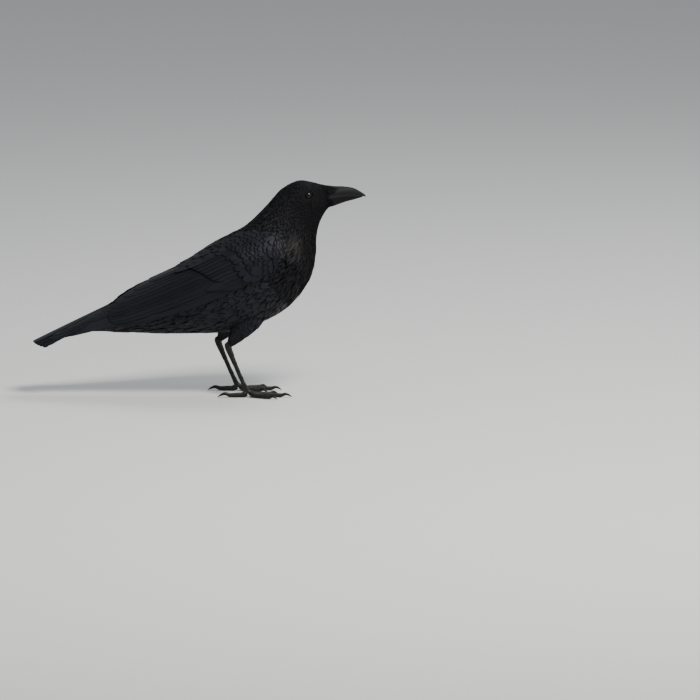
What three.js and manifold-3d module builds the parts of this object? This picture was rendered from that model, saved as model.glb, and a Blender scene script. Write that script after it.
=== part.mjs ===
// A carrion crow, life size, standing: a still museum-style model.
// Millimetres, +Z up. The bird faces +X, its left side is +Y, and the floor is the plane z = 0.
// Each named mesh is one closed solid of the outer shape of that part, out to the tips of the plumage.
// Neighbouring solids keep a gap of JOIN_GAP.
import * as THREE from "three";
import { mergeGeometries, mergeVertices } from "three/addons/utils/BufferGeometryUtils.js";
import Module from "manifold-3d";

const wasm = await Module();
wasm.setup();

// ---------------------------------------------------------------- sizes (mm)
const JOIN_GAP = 0.34; // between touching solids
const EYE_RADIUS = 5.9;
const EYE_AT = [134.8, 13.3, 249.6]; // centre of the left eyeball
const EYE_OPENING = 4.4; // radius of the opening between the lids

const TARSUS_TOP = 62; // height of the intertarsal joint
const STANCE_HALF_WIDTH = 25; // foot centre to the mid plane
const FOOT_X = { left: 47, right: 60 }; // toe joint of each foot; the right foot is a short step ahead
const TARSUS_LEAN = 24; // the intertarsal joint lies this far behind the toe joint
const TOE_JOINT_Z = 6.2;

// toe: direction from straight ahead (positive turns outwards), length without claw, radius at its root, claw length, claw radius
const TOES = {
  hallux: { turn: 176, length: 19, radius: 3.3, claw: 16.5, clawRadius: 2.5 },
  inner: { turn: -27, length: 26, radius: 3.0, claw: 12.5, clawRadius: 2.0 },
  middle: { turn: 2, length: 37, radius: 3.2, claw: 13.5, clawRadius: 2.1 },
  outer: { turn: 31, length: 27, radius: 3.0, claw: 11.5, clawRadius: 1.9 },
};

const TAIL_ROOT = [-46, 142]; // x, z of the feather roots
const TAIL_TIP = [-205.65, 62.6];
const TAIL_FEATHERS = 12;
const TAIL_FAN = 4.8; // degrees from the centre line to the outermost feather
const TAIL_FEATHER_HALF_WIDTH = 11.8;
const TAIL_ROOT_HALF_WIDTH = 6;
const TAIL_ARCH = 11; // drop of the outermost feather below the centre pair
const TAIL_LIFT = 2.2; // of the folded feathers above the line from root to tip
const TAIL_ROUNDING = 13; // how much shorter the outermost feather is
const TAIL_NOTCH = 2.4; // depth of the hollow between two feather tips
const TAIL_THICKNESS = 3.4; // of the stack of feathers in the middle

// Landmarks of the plumage outline in the mid plane, from the bill back to the tips of the tail coverts.
// dorsal [x, z], ventral [x, z], half width, height of the widest line (0 dorsal, 1 ventral), squareness of the section
const BODY = {
  face: { dorsal: [151, 261.0], ventral: [160.5, 235.0], half: 11.5, widest: 0.55, square: 2.2 },
  eye: { dorsal: [137.5, 264.6], ventral: [153.0, 223.6], half: 18.4, widest: 0.5, square: 2.25 },
  crown: { dorsal: [121.5, 265.8], ventral: [146.8, 209.5], half: 21.8, widest: 0.5, square: 2.2 },
  nape: { dorsal: [101.5, 255.4], ventral: [144.0, 193.0], half: 25.0, widest: 0.52, square: 2.15 },
  hindneck: { dorsal: [80.5, 233.4], ventral: [143.0, 172.0], half: 31.5, widest: 0.54, square: 2.15 },
  shoulder: { dorsal: [55.5, 210.8], ventral: [134.5, 141.5], half: 42.0, widest: 0.51, square: 2.2 },
  mantle: { dorsal: [16.0, 188.0], ventral: [101.5, 103.5], half: 48.0, widest: 0.49, square: 2.25 },
  back: { dorsal: [-25.0, 161.8], ventral: [44.0, 81.0], half: 44.0, widest: 0.48, square: 2.25 },
  rump: { dorsal: [-68.0, 139.0], ventral: [-16.0, 77.0], half: 34.0, widest: 0.46, square: 2.2 },
  vent: { dorsal: [-106.0, 115.5], ventral: [-78.0, 78.0], half: 24.5, widest: 0.42, square: 2.15 },
  coverts: { dorsal: [-137.0, 98.3], ventral: [-126.0, 80.5], half: 17.0, widest: 0.4, square: 2.1 },
  covertTips: { dorsal: [-158.0, 86.8], ventral: [-154.0, 80.5], half: 9.5, widest: 0.4, square: 2.1 },
};

// Thin cuts that part the body: each runs through two points [x, z] and along Y.
const CUTS = {
  headNeck: [[97, 252], [147, 211]],
  neckTrunk: [[66, 220], [146, 166]],
  trunkTail: [[-101, 126], [-93, 70]],
};

// Folded wing: its lower edge (the leading edge, with the outermost primary) and upper edge (scapulars, tertials), as [x, y, z], left side.
const WING_LOWER = [[113, 37.5, 176], [88, 46.5, 156], [48, 53.5, 134.5], [0, 49.5, 114.5], [-52, 40.5, 98.5], [-98, 30.5, 90]];
const WING_UPPER = [[115, 35.5, 188], [92, 35, 205.5], [48, 25, 202.5], [0, 17.5, 176.5], [-50, 11, 150], [-102, 8, 121.5]];
const WING_BULGE = [3, 9, 15, 16, 12, 6]; // outward bow of the section between those edges
const WING_THICK = [10, 15, 17, 15, 11, 4.5]; // depth of the solid, before the trunk is cut from it

// Long feathers of the folded wing, from the upper one to the lower one: tip [x, y, z] and half width; their roots lie evenly on a line.
const INNER_FEATHERS = {
  // tertials and the secondaries under them
  roots: [[-22, 17, 156], [-22, 41, 119]],
  tips: [{ tip: [-86, 9, 126], half: 9 }, { tip: [-99, 10.5, 119.5], half: 9.5 }, { tip: [-109, 13, 112.5], half: 9.5 }, { tip: [-112, 19, 105.5], half: 9 }, { tip: [-109, 25.5, 99], half: 8 }],
};
const PRIMARIES = {
  roots: [[-58, 17.5, 118], [-50, 38.5, 102.5]],
  tips: [
    { tip: [-128, 12, 102.5], half: 9.5 },
    { tip: [-150, 13, 92.5], half: 9.5 },
    { tip: [-171, 15, 83], half: 9.5 },
    { tip: [-187, 17.5, 75], half: 8.5 },
    { tip: [-179, 21, 75], half: 7 },
    { tip: [-151, 25.5, 80.5], half: 6 },
  ],
};
const FEATHER_TILT = 0.92; // radians that the flat of these feathers leans out from level

// Bill: station x, top z, line of the gape z, bottom z, half width, from the base to the tip.
const BILL = {
  root: { x: 146, top: 258.2, gape: 243.2, bottom: 232.9, half: 10.4 },
  base: { x: 158, top: 259.4, gape: 244.6, bottom: 233.4, half: 9.9 },
  nostril: { x: 170, top: 259.5, gape: 246.2, bottom: 236.3, half: 8.2 },
  gonys: { x: 180, top: 258.9, gape: 247.1, bottom: 239.8, half: 6.4 },
  curve: { x: 190, top: 257.2, gape: 247.4, bottom: 242.5, half: 4.6 },
  hook: { x: 198, top: 253.4, gape: 247.2, bottom: 244.9, half: 2.7 },
};
const BILL_UPPER_TIP = [205.6, 247.6];
const BILL_LOWER_TIP = [201.6, 246.4];

// ---------------------------------------------------------------- curves
const at = (table, key) => Object.values(table).map((row) => row[key]);
// A smooth function of u from 0 to 1 through evenly spaced values.
function through(values) {
  const curve = new THREE.CatmullRomCurve3(values.map((v) => new THREE.Vector3(v, 0, 0)), false, "catmullrom", 0.5);
  return (u) => curve.getPoint(THREE.MathUtils.clamp(u, 0, 1)).x;
}
function path(points) {
  const curve = new THREE.CatmullRomCurve3(points.map((p) => new THREE.Vector3(...p)), false, "catmullrom", 0.5);
  return (u) => curve.getPoint(THREE.MathUtils.clamp(u, 0, 1));
}
const power = (value, n) => Math.sign(value) * Math.abs(value) ** (2 / n);

// ---------------------------------------------------------------- meshes and solids
// A capped cylinder whose vertices are moved to place(u, angle, r): u runs 0 to 1 along it, r is 0 on its axis and 1 on its wall.
function swept(around, along, place) {
  const g = new THREE.CylinderGeometry(1, 1, 1, around, along);
  const p = g.attributes.position;
  for (let i = 0; i < p.count; i++) {
    const r = Math.hypot(p.getX(i), p.getZ(i));
    const q = place(0.5 - p.getY(i), Math.atan2(p.getX(i), p.getZ(i)), r < 1e-6 ? 0 : 1);
    p.setXYZ(i, q.x, q.y, q.z);
  }
  return g;
}
function solid(geometry) {
  const g = geometry.clone();
  g.deleteAttribute("normal");
  g.deleteAttribute("uv");
  const m = mergeVertices(g, 1e-3);
  const triVerts = new Uint32Array(m.index.array);
  const p = m.attributes.position;
  let volume = 0;
  const [a, b, c] = [new THREE.Vector3(), new THREE.Vector3(), new THREE.Vector3()];
  for (let i = 0; i < triVerts.length; i += 3) {
    a.fromBufferAttribute(p, triVerts[i]);
    b.fromBufferAttribute(p, triVerts[i + 1]);
    c.fromBufferAttribute(p, triVerts[i + 2]);
    volume += a.dot(b.cross(c));
  }
  if (volume < 0) for (let i = 0; i < triVerts.length; i += 3) [triVerts[i + 1], triVerts[i + 2]] = [triVerts[i + 2], triVerts[i + 1]];
  return new wasm.Manifold(new wasm.Mesh({ numProp: 3, vertProperties: p.array, triVerts }));
}
const largest = (s) => s.decompose().reduce((x, y) => (x.volume() > y.volume() ? x : y));
const join = (list) => list.reduce((x, y) => x.add(y));

const SIZE = 900; // larger than the bird
// The half space on one side of a cut; side 1 keeps what lies ahead of the line from its first point to its second.
function half([[x0, z0], [x1, z1]], side) {
  const box = new THREE.BoxGeometry(SIZE, SIZE, SIZE);
  const along = Math.atan2(z1 - z0, x1 - x0);
  box.translate(0, 0, (SIZE / 2 + JOIN_GAP / 2) * side);
  box.applyMatrix4(new THREE.Matrix4().makeRotationY(-along));
  box.translate((x0 + x1) / 2, 0, (z0 + z1) / 2);
  return solid(box);
}
const aboveFloor = (() => {
  const box = new THREE.BoxGeometry(SIZE, SIZE, SIZE);
  box.translate(0, 0, SIZE / 2);
  return solid(box);
})();

const model = new THREE.Group();
const MATERIALS = {
  plumage: new THREE.MeshStandardMaterial({ color: 0x131318, roughness: 0.5, metalness: 0 }),
  flight: new THREE.MeshStandardMaterial({ color: 0x15161d, roughness: 0.38, metalness: 0 }),
  bill: new THREE.MeshStandardMaterial({ color: 0x1b1b1e, roughness: 0.36, metalness: 0 }),
  leg: new THREE.MeshStandardMaterial({ color: 0x1a1918, roughness: 0.48, metalness: 0 }),
  claw: new THREE.MeshStandardMaterial({ color: 0x141414, roughness: 0.3, metalness: 0 }),
  eye: new THREE.MeshStandardMaterial({ color: 0x130b07, roughness: 0.06, metalness: 0 }),
};
function add(name, material, body) {
  const out = body.getMesh();
  const g = new THREE.BufferGeometry();
  const v = new Float32Array(out.numVert * 3);
  for (let i = 0; i < out.numVert; i++) v.set(out.vertProperties.subarray(i * out.numProp, i * out.numProp + 3), i * 3);
  g.setAttribute("position", new THREE.BufferAttribute(v, 3));
  g.setIndex(new THREE.BufferAttribute(out.triVerts, 1));
  g.computeVertexNormals();
  g.computeBoundingBox();
  const middle = g.boundingBox.getCenter(new THREE.Vector3()).round();
  g.translate(-middle.x, -middle.y, -middle.z);
  const mesh = new THREE.Mesh(g, MATERIALS[material]);
  mesh.name = name;
  mesh.position.copy(middle);
  model.add(mesh);
}

// ---------------------------------------------------------------- body
const dorsal = path(at(BODY, "dorsal").map(([x, z]) => [x, 0, z]));
const ventral = path(at(BODY, "ventral").map(([x, z]) => [x, 0, z]));
const bodyHalf = through(at(BODY, "half"));
const bodyWidest = through(at(BODY, "widest"));
const bodySquare = through(at(BODY, "square"));
function bodyPlace(grow) {
  return (u, angle, r) => {
    const top = dorsal(u), bottom = ventral(u);
    const down = bottom.clone().sub(top), depth = down.length();
    down.normalize();
    const f = bodyWidest(u), n = bodySquare(u);
    const centre = top.clone().addScaledVector(down, f * depth);
    const c = power(Math.cos(angle), n), s = power(Math.sin(angle), n);
    const reach = (c > 0 ? f * depth : (1 - f) * depth) + grow;
    const p = centre.clone().addScaledVector(down, -c * reach * r);
    p.y = s * (bodyHalf(u) + grow) * r;
    return p;
  };
}
const bodySolid = (grow, around = 22, along = 27) => {
  const place = bodyPlace(grow);
  return solid(swept(around, along, place));
};
const body = bodySolid(0);
const bodyGrown = bodySolid(JOIN_GAP);

// ---------------------------------------------------------------- bill
const billX = at(BILL, "x");
// The two halves of the bill, each a loft whose last ring closes at its tip.
function billSolid(upper, grow) {
  const tip = upper ? BILL_UPPER_TIP : BILL_LOWER_TIP;
  const stations = Object.values(BILL).map((b) => ({
    x: b.x,
    high: (upper ? b.top : b.gape - (JOIN_GAP + 0.05)) + grow,
    low: (upper ? b.gape : b.bottom) - grow,
    half: b.half * (upper ? 1 : 0.9) + grow,
  }));
  stations.push({ x: tip[0] + grow, high: tip[1] + 0.7 + grow, low: tip[1] - 0.6 - grow, half: 0.6 + grow });
  const x = through(stations.map((s) => s.x)), high = through(stations.map((s) => s.high));
  const low = through(stations.map((s) => s.low)), halfWidth = through(stations.map((s) => s.half));
  return solid(
    swept(10, 8, (u, angle, r) => {
      const h = high(u) - low(u), w = halfWidth(u);
      const c = Math.cos(angle), s = Math.sin(angle);
      // The upper half is a rounded ridge over a nearly flat cutting edge, the lower half the other way up.
      const ridge = upper ? c : -c;
      const z = ridge > 0 ? h * 0.86 * ridge ** 0.9 : h * 0.14 * ridge * Math.abs(ridge) ** -0.3;
      const narrow = ridge > 0 ? Math.abs(s) ** 0.86 : Math.abs(s) ** 0.55;
      const mid = upper ? low(u) + h * 0.14 : high(u) - h * 0.14;
      return new THREE.Vector3(x(u) - (u < 0.01 ? grow : 0), Math.sign(s) * narrow * w * r, mid + (upper ? 1 : -1) * z * r);
    }),
  );
}
const billUpper = billSolid(true, 0), billLower = billSolid(false, 0);
const billSocket = billSolid(true, JOIN_GAP).add(billSolid(false, JOIN_GAP));

// Bristles over the nostrils: a low tapered pad that lies along the base of the bill.
const bristles = solid(
  swept(10, 4, (u, angle, r) => {
    const x = 146 + 24.5 * u;
    const taper = Math.sqrt(Math.max(0, 1 - u ** 2.4));
    const top = 261.1 - 0.9 * u, low = 250.5 + 3 * u;
    const mid = (top + low) / 2, c = Math.cos(angle), s = Math.sin(angle);
    return new THREE.Vector3(x, s * (11.6 - 2.2 * u) * (0.25 + 0.75 * taper) * r, mid + c * ((top - low) / 2) * (0.3 + 0.7 * taper) * r);
  }),
);

// ---------------------------------------------------------------- head, neck, trunk
function ball(radius, [x, y, z], detail = 1) {
  const g = new THREE.SphereGeometry(radius, 12 * detail, 8 * detail);
  g.rotateX(Math.PI / 2);
  g.translate(x, y, z);
  return solid(g);
}
const eyeAt = (side) => [EYE_AT[0], EYE_AT[1] * side, EYE_AT[2]];
// An opening between the lids, from the eyeball out through the plumage.
function lidOpening(side) {
  const g = new THREE.CylinderGeometry(EYE_OPENING + 1.2, EYE_OPENING - 0.2, 12, 12, 1);
  if (side < 0) g.rotateX(Math.PI);
  g.translate(EYE_AT[0], (EYE_AT[1] + 7.5) * side, EYE_AT[2]);
  return solid(g);
}
let headFront = body.intersect(half(CUTS.headNeck, 1)).add(bristles.intersect(half([[140, 300], [146.3, 200]], 1)));
headFront = headFront.subtract(billSocket);
for (const side of [1, -1]) headFront = headFront.subtract(ball(EYE_RADIUS + JOIN_GAP, eyeAt(side))).subtract(lidOpening(side));
const head = largest(headFront);
const neck = largest(body.intersect(half(CUTS.headNeck, -1)).intersect(half(CUTS.neckTrunk, 1)));
const trunk = largest(body.intersect(half(CUTS.neckTrunk, -1)).intersect(half(CUTS.trunkTail, 1)));

// ---------------------------------------------------------------- tail
// Outline of a long feather from root to tip: [distance along it, width], both as a share of the whole.
const WING_FEATHER_SHAPE = [[0, 0.6], [0.42, 1], [0.78, 1], [0.94, 0.72], [1, 0.26]];
// One long flat feather: root and tip [x, y, z], half width, half thickness, sideways tilt of its flat.
function blade(root, tip, halfWidth, thick, tilt, shape) {
  const a = new THREE.Vector3(...root), b = new THREE.Vector3(...tip);
  const dir = b.clone().sub(a).normalize();
  const across = new THREE.Vector3(0, 1, 0).addScaledVector(dir, -dir.y).normalize().applyAxisAngle(dir, tilt);
  const up = across.clone().cross(dir).normalize();
  if (up.z < 0) up.negate();
  const rings = shape.length - 1;
  return solid(
    swept(4, rings, (u, angle, r) => {
      const [s, width] = shape[Math.round(u * rings)];
      const p = a.clone().lerp(b, s);
      p.addScaledVector(across, Math.sin(angle) * halfWidth * width * r);
      return p.addScaledVector(up, Math.cos(angle) * thick * (0.4 + 0.6 * width) * r);
    }),
  );
}
// A closed sheet over a grid: place(across, along, side) takes both from 0 to 1; side is 1 above, -1 below and 0 on the border.
function sheet(columns, rows, place) {
  const faces = [1, -1].map((side) => {
    const g = new THREE.PlaneGeometry(1, 1, columns, rows);
    const p = g.attributes.position;
    for (let i = 0; i < p.count; i++) {
      const across = p.getX(i) + 0.5, along = 0.5 - p.getY(i);
      const border = Math.min(across, 1 - across, along, 1 - along) < 1e-6;
      const q = place(across, along, border ? 0 : side);
      p.setXYZ(i, q.x, q.y, q.z);
    }
    if (side < 0) {
      const t = g.index.array;
      for (let i = 0; i < t.length; i += 3) [t[i + 1], t[i + 2]] = [t[i + 2], t[i + 1]];
    }
    return g;
  });
  return solid(mergeGeometries(faces));
}
// The folded tail, a slightly arched fan whose hind edge is scalloped by the tips of its feathers.
const TAIL_ROWS = [0, 0.5, 0.9, 0.97, 1];
const tailFan = sheet(2 * TAIL_FEATHERS, TAIL_ROWS.length - 1, (across, along, side) => {
  const k = 2 * across - 1; // -1 to 1 across the tail
  const s = TAIL_ROWS[Math.round(along * (TAIL_ROWS.length - 1))];
  const notch = Math.round(across * 2 * TAIL_FEATHERS) % 2 ? 0 : TAIL_NOTCH;
  const turn = THREE.MathUtils.degToRad(TAIL_FAN) * k;
  const slope = Math.atan2(TAIL_ROOT[1] - TAIL_TIP[1], TAIL_ROOT[0] - TAIL_TIP[0]);
  const reach = s * (Math.hypot(TAIL_ROOT[0] - TAIL_TIP[0], TAIL_ROOT[1] - TAIL_TIP[1]) - TAIL_ROUNDING * k * k - notch);
  const edge = TAIL_FEATHER_HALF_WIDTH * (0.6 + 0.4 * Math.min(1, s * 2)) * (s > 0.96 ? 0.8 : 1);
  const thick = TAIL_THICKNESS * (0.4 + 0.6 * Math.sqrt(1 - Math.min(1, k * k)));
  return new THREE.Vector3(
    TAIL_ROOT[0] - reach * Math.cos(slope) * Math.cos(turn),
    k * (TAIL_ROOT_HALF_WIDTH + edge) + reach * Math.sin(turn),
    TAIL_ROOT[1] - reach * Math.sin(slope) + TAIL_LIFT * (1 + 0.3 * s) - TAIL_ARCH * Math.abs(k) ** 1.8 * (0.55 + 0.45 * s) + (side * thick) / 2,
  );
});
const tail = largest(tailFan.add(body).intersect(half(CUTS.trunkTail, -1)));

// ---------------------------------------------------------------- wings
function wingSolid(grow) {
  const lower = path(WING_LOWER), upper = path(WING_UPPER), bulge = through(WING_BULGE), thick = through(WING_THICK);
  return solid(
    swept(16, 14, (u, angle, r) => {
      const a = lower(u), b = upper(u), chord = b.clone().sub(a);
      const out = new THREE.Vector3(0, chord.z, -chord.y).normalize();
      // Round the outline off at the bend of the wing and at the tips of the tertials.
      const ends = Math.min(1, Math.sqrt(Math.max(0, Math.sin(Math.min(u * 5.5, 1) * Math.PI / 2))), Math.sqrt(Math.max(0, Math.sin(Math.min((1 - u) * 10, 1) * Math.PI / 2))));
      const v = 0.5 + 0.5 * Math.sin(angle) * (0.3 + 0.7 * ends);
      const mid = a.clone().addScaledVector(chord, 0.5);
      const p = a.clone().addScaledVector(chord, v).addScaledVector(out, bulge(u) * 4 * v * (1 - v));
      const c = Math.cos(angle);
      p.addScaledVector(out, c > 0 ? grow * c : c * thick(u) * (0.35 + 0.65 * ends));
      if (grow) p.addScaledVector(chord.normalize(), grow * Math.sin(angle));
      return r ? p : mid.addScaledVector(out, bulge(u) - thick(u) * 0.3);
    }),
  );
}
function longFeathers({ roots: [upper, lower], tips }) {
  return join(
    tips.map((f, i) => {
      const root = upper.map((v, k) => THREE.MathUtils.lerp(v, lower[k], i / (tips.length - 1)));
      return blade(root, f.tip, f.half, 1, FEATHER_TILT, WING_FEATHER_SHAPE);
    }),
  );
}
const mirrored = (s, side) => (side > 0 ? s : s.scale([1, -1, 1]));
// The same solid with a little added all round, for cutting a gap beside it.
const padded = (s) => join([s, ...[[1, 0, 0], [-1, 0, 0], [0, 1, 0], [0, -1, 0], [0, 0, 1], [0, 0, -1]].map((d) => s.translate(d.map((v) => v * JOIN_GAP)))]);
const tailPadded = padded(tail);
const armUncut = wingSolid(0).add(longFeathers(INNER_FEATHERS));
const handUncut = longFeathers(PRIMARIES).subtract(padded(armUncut));
// The folded wing of one side: the arm with its coverts and inner feathers, and the long primaries below and behind it.
function foldedWing(side) {
  const clear = (s) => largest(mirrored(s, side).subtract(bodyGrown).subtract(tailPadded));
  return { arm: clear(armUncut), hand: clear(handUncut) };
}

// ---------------------------------------------------------------- legs
function tube(points, radii, around = 12, along = 10, flat = 1) {
  const line = path(points), radius = through(radii);
  return (grow = 0) =>
    solid(
      swept(around, along, (u, angle, r) => {
        const p = line(u), q = line(Math.min(1, u + 0.01)), o = line(Math.max(0, u - 0.01));
        const dir = q.sub(o).normalize();
        const side = new THREE.Vector3(0, 1, 0).addScaledVector(dir, -dir.y).normalize();
        const up = side.clone().cross(dir);
        const w = (radius(u) + grow) * r;
        const end = u > 0.999 ? grow : u < 0.001 ? -grow : 0;
        return p.addScaledVector(side, Math.sin(angle) * w * flat).addScaledVector(up, Math.cos(angle) * w).addScaledVector(dir, end);
      }),
    );
}
const legs = {};
for (const [name, side] of [["left", 1], ["right", -1]]) {
  const x = FOOT_X[name], y = STANCE_HALF_WIDTH * side;
  const ankle = [x - TARSUS_LEAN, y * 0.93, TARSUS_TOP];
  const hip = [x + 10, y * 0.66, 117];
  const thigh = tube([hip, [x - 1, y * 0.8, 96], [x - 12, y * 0.9, 79.5], [x - 21.5, y * 0.94, TARSUS_TOP + 4.5]], [21, 17.5, 10.8, 4.4], 12, 7, 0.8);
  const shank = tube([[ankle[0] + 1.5, ankle[1], ankle[2] + 4], ankle, [x - 14, y * 0.97, 37], [x - 3, y, 12], [x + 1, y, TOE_JOINT_Z - 0.6]], [3.6, 4.1, 2.7, 2.9, 4.3], 8, 8, 0.82);
  const toes = {}, claws = {};
  for (const [toe, t] of Object.entries(TOES)) {
    const a = THREE.MathUtils.degToRad(t.turn) * side;
    const d = [Math.cos(a), Math.sin(a)];
    const start = toe === "hallux" ? 3.2 : 5.0;
    const raise = toe === "hallux" ? -0.4 : 0;
    const on = (s, z) => [x + d[0] * (start + s), y + d[1] * (start + s) , z];
    const rr = t.radius;
    // Pads press on the floor, and the joints between them are a little raised.
    toes[toe] = tube(
      [on(0, TOE_JOINT_Z - 1.6 + raise), on(t.length * 0.22, rr * 0.92), on(t.length * 0.48, rr * 0.9), on(t.length * 0.74, rr * 0.84), on(t.length, rr * 0.86)],
      [rr * 1.12, rr * 1.0, rr * 0.98, rr * 0.9, rr * 0.8], 8, 5, 0.92,
    );
    const tipZ = 0.55, c = t.claw;
    claws[toe] = tube(
      [on(t.length + 0.36, rr * 0.95), on(t.length + c * 0.32, rr * 0.95 + c * 0.1), on(t.length + c * 0.66, rr * 0.62 + c * 0.07), on(t.length + c * 0.92, tipZ)],
      [t.clawRadius, t.clawRadius * 0.82, t.clawRadius * 0.52, 0.3], 6, 4, 0.72,
    );
  }
  legs[name] = { thigh, shank, toes, claws, side };
}

// ---------------------------------------------------------------- the group
add("head", "plumage", head);
add("neck", "plumage", neck);
add("trunk", "plumage", trunk);
add("tail", "flight", tail);
add("bill_upper", "bill", billUpper);
add("bill_lower", "bill", billLower);
for (const [name, side] of [["left", 1], ["right", -1]]) {
  add(`eye_${name}`, "eye", ball(EYE_RADIUS, eyeAt(side)));
  const wing = foldedWing(side);
  add(`wing_${name}`, "flight", wing.arm);
  add(`wing_tip_${name}`, "flight", wing.hand);
  const leg = legs[name];
  const shank = leg.shank(), shankGrown = leg.shank(JOIN_GAP);
  const thigh = largest(leg.thigh().subtract(bodyGrown).subtract(mirrored(wingSolid(JOIN_GAP), side)).subtract(shankGrown));
  add(`thigh_${name}`, "plumage", thigh);
  add(`shank_${name}`, "leg", largest(shank.intersect(aboveFloor)));
  let taken = shankGrown;
  for (const toe of Object.keys(TOES)) {
    const full = leg.toes[toe]().intersect(aboveFloor);
    add(`toe_${toe}_${name}`, "leg", largest(full.subtract(taken)));
    taken = taken.add(leg.toes[toe](JOIN_GAP));
    add(`claw_${toe}_${name}`, "claw", largest(leg.claws[toe]().intersect(aboveFloor).subtract(leg.toes[toe](JOIN_GAP))));
  }
}

export default model;
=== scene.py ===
"""A carrion crow at life size: skin, bill, eyes, scaly legs and every feather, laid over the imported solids.

The tables are in millimetres, in the model's own frame: the bird faces +X, its left side is +Y, the floor is z = 0.
Everything is turned into metres when a mesh is made.
"""

import math

import bpy
import numpy as np
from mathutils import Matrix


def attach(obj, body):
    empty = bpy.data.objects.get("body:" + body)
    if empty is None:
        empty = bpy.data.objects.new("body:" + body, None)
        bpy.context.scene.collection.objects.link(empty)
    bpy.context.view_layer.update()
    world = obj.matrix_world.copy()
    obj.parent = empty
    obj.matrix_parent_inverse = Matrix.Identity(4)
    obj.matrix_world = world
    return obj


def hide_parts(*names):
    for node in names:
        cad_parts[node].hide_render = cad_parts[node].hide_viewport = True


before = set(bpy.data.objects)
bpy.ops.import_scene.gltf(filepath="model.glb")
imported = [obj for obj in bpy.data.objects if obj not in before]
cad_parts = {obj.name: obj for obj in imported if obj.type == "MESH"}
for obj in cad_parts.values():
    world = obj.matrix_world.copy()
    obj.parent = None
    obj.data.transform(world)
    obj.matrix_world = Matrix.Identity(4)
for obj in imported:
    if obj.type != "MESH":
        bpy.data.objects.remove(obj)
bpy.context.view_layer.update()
MM = 0.001

# ---------------------------------------------------------------- camera, light, floor
AZIMUTH, ELEVATION = 0.0, math.radians(9.0)  # seen from the bird's right side, a little from above
DISTANCE = 10.0
FRAME_WIDTH = 0.8652  # metres across the picture at the bird
AIM = (0.1860, 0.0544)  # the picture's middle: metres ahead of the model's origin, and up in the picture

scene = bpy.context.scene


def set_up_camera():
    data = bpy.data.cameras.new("camera")
    data.sensor_width = 36.0
    data.lens = 36.0 * DISTANCE / FRAME_WIDTH
    data.clip_end = 60.0
    cam = bpy.data.objects.new("camera", data)
    scene.collection.objects.link(cam)
    up = np.array([0.0, math.sin(ELEVATION), math.cos(ELEVATION)])
    back = np.array([0.0, -math.cos(ELEVATION), math.sin(ELEVATION)])
    cam.location = np.array([AIM[0], 0.0, 0.0]) + up * AIM[1] + back * DISTANCE
    cam.rotation_euler = (math.pi / 2 - ELEVATION, 0.0, AZIMUTH)
    scene.camera = cam


def area_light(name, place, aim, size, power, colour=(1, 1, 1)):
    data = bpy.data.lights.new(name, "AREA")
    data.shape = "RECTANGLE"
    data.size, data.size_y = size
    data.energy = power
    data.color = colour
    o = bpy.data.objects.new(name, data)
    scene.collection.objects.link(o)
    from mathutils import Vector

    o.location = place
    o.rotation_euler = (Vector(aim) - Vector(place)).to_track_quat("-Z", "Y").to_euler()


def set_up_stage():
    world = bpy.data.worlds.new("world")
    scene.world = world
    world.use_nodes = True
    bg = world.node_tree.nodes["Background"]
    bg.inputs["Color"].default_value = (0.90, 0.945, 1.0, 1)
    bg.inputs["Strength"].default_value = 0.42
    # soft sun from high over the bird's breast, a weak fill from ahead of it, and a top light from behind its head
    area_light("key", (0.75, -1.35, 2.2), (0.02, 0.0, 0.15), (0.8, 0.8), 78, (1.0, 0.965, 0.91))
    area_light("fill", (2.3, -1.1, 0.8), (0.05, 0.0, 0.14), (1.8, 1.2), 11, (0.95, 0.98, 1.0))
    area_light("top", (1.0, 0.95, 2.2), (0.08, 0.0, 0.18), (1.2, 0.9), 24, (0.97, 0.985, 1.0))
    # one wide sheet of ground
    rings, around = [0.0, 0.4, 1.0, 2.5, 6.0, 15.0, 40.0], 48
    verts, faces = [(0.0, 0.0, 0.0)], []
    for r in rings[1:]:
        verts += [(r * math.cos(k), r * math.sin(k), 0.0) for k in np.linspace(0, 2 * math.pi, around, endpoint=False)]
    for i in range(around):
        j = (i + 1) % around
        faces.append((0, 1 + i, 1 + j))
        for k in range(len(rings) - 2):
            faces.append((1 + k * around + i, 1 + (k + 1) * around + i, 1 + (k + 1) * around + j, 1 + k * around + j))
    me = bpy.data.meshes.new("floor")
    me.from_pydata(verts, [], faces)
    floor = bpy.data.objects.new("floor", me)
    scene.collection.objects.link(floor)
    m = bpy.data.materials.new("pale_floor")
    m.use_nodes = True
    b = m.node_tree.nodes["Principled BSDF"]
    noise = m.node_tree.nodes.new("ShaderNodeTexNoise")
    noise.inputs["Scale"].default_value = 3.0
    ramp = m.node_tree.nodes.new("ShaderNodeValToRGB")
    ramp.color_ramp.elements[0].color = (0.64, 0.645, 0.635, 1)
    ramp.color_ramp.elements[1].color = (0.68, 0.68, 0.67, 1)
    m.node_tree.links.new(noise.outputs["Fac"], ramp.inputs["Fac"])
    m.node_tree.links.new(ramp.outputs["Color"], b.inputs["Base Color"])
    b.inputs["Roughness"].default_value = 0.9
    b.inputs["Specular IOR Level"].default_value = 0.2
    me.materials.append(m)


set_up_camera()
set_up_stage()

# ---------------------------------------------------------------- sizes (mm), the same as the solids'
EYE_RADIUS, EYE_AT, EYE_OPENING = 5.9, np.array([134.8, 13.3, 249.6]), 4.4
TARSUS_TOP, STANCE_HALF_WIDTH, TARSUS_LEAN, TOE_JOINT_Z = 62.0, 25.0, 24.0, 6.2
FOOT_X = {"left": 47.0, "right": 60.0}
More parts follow.
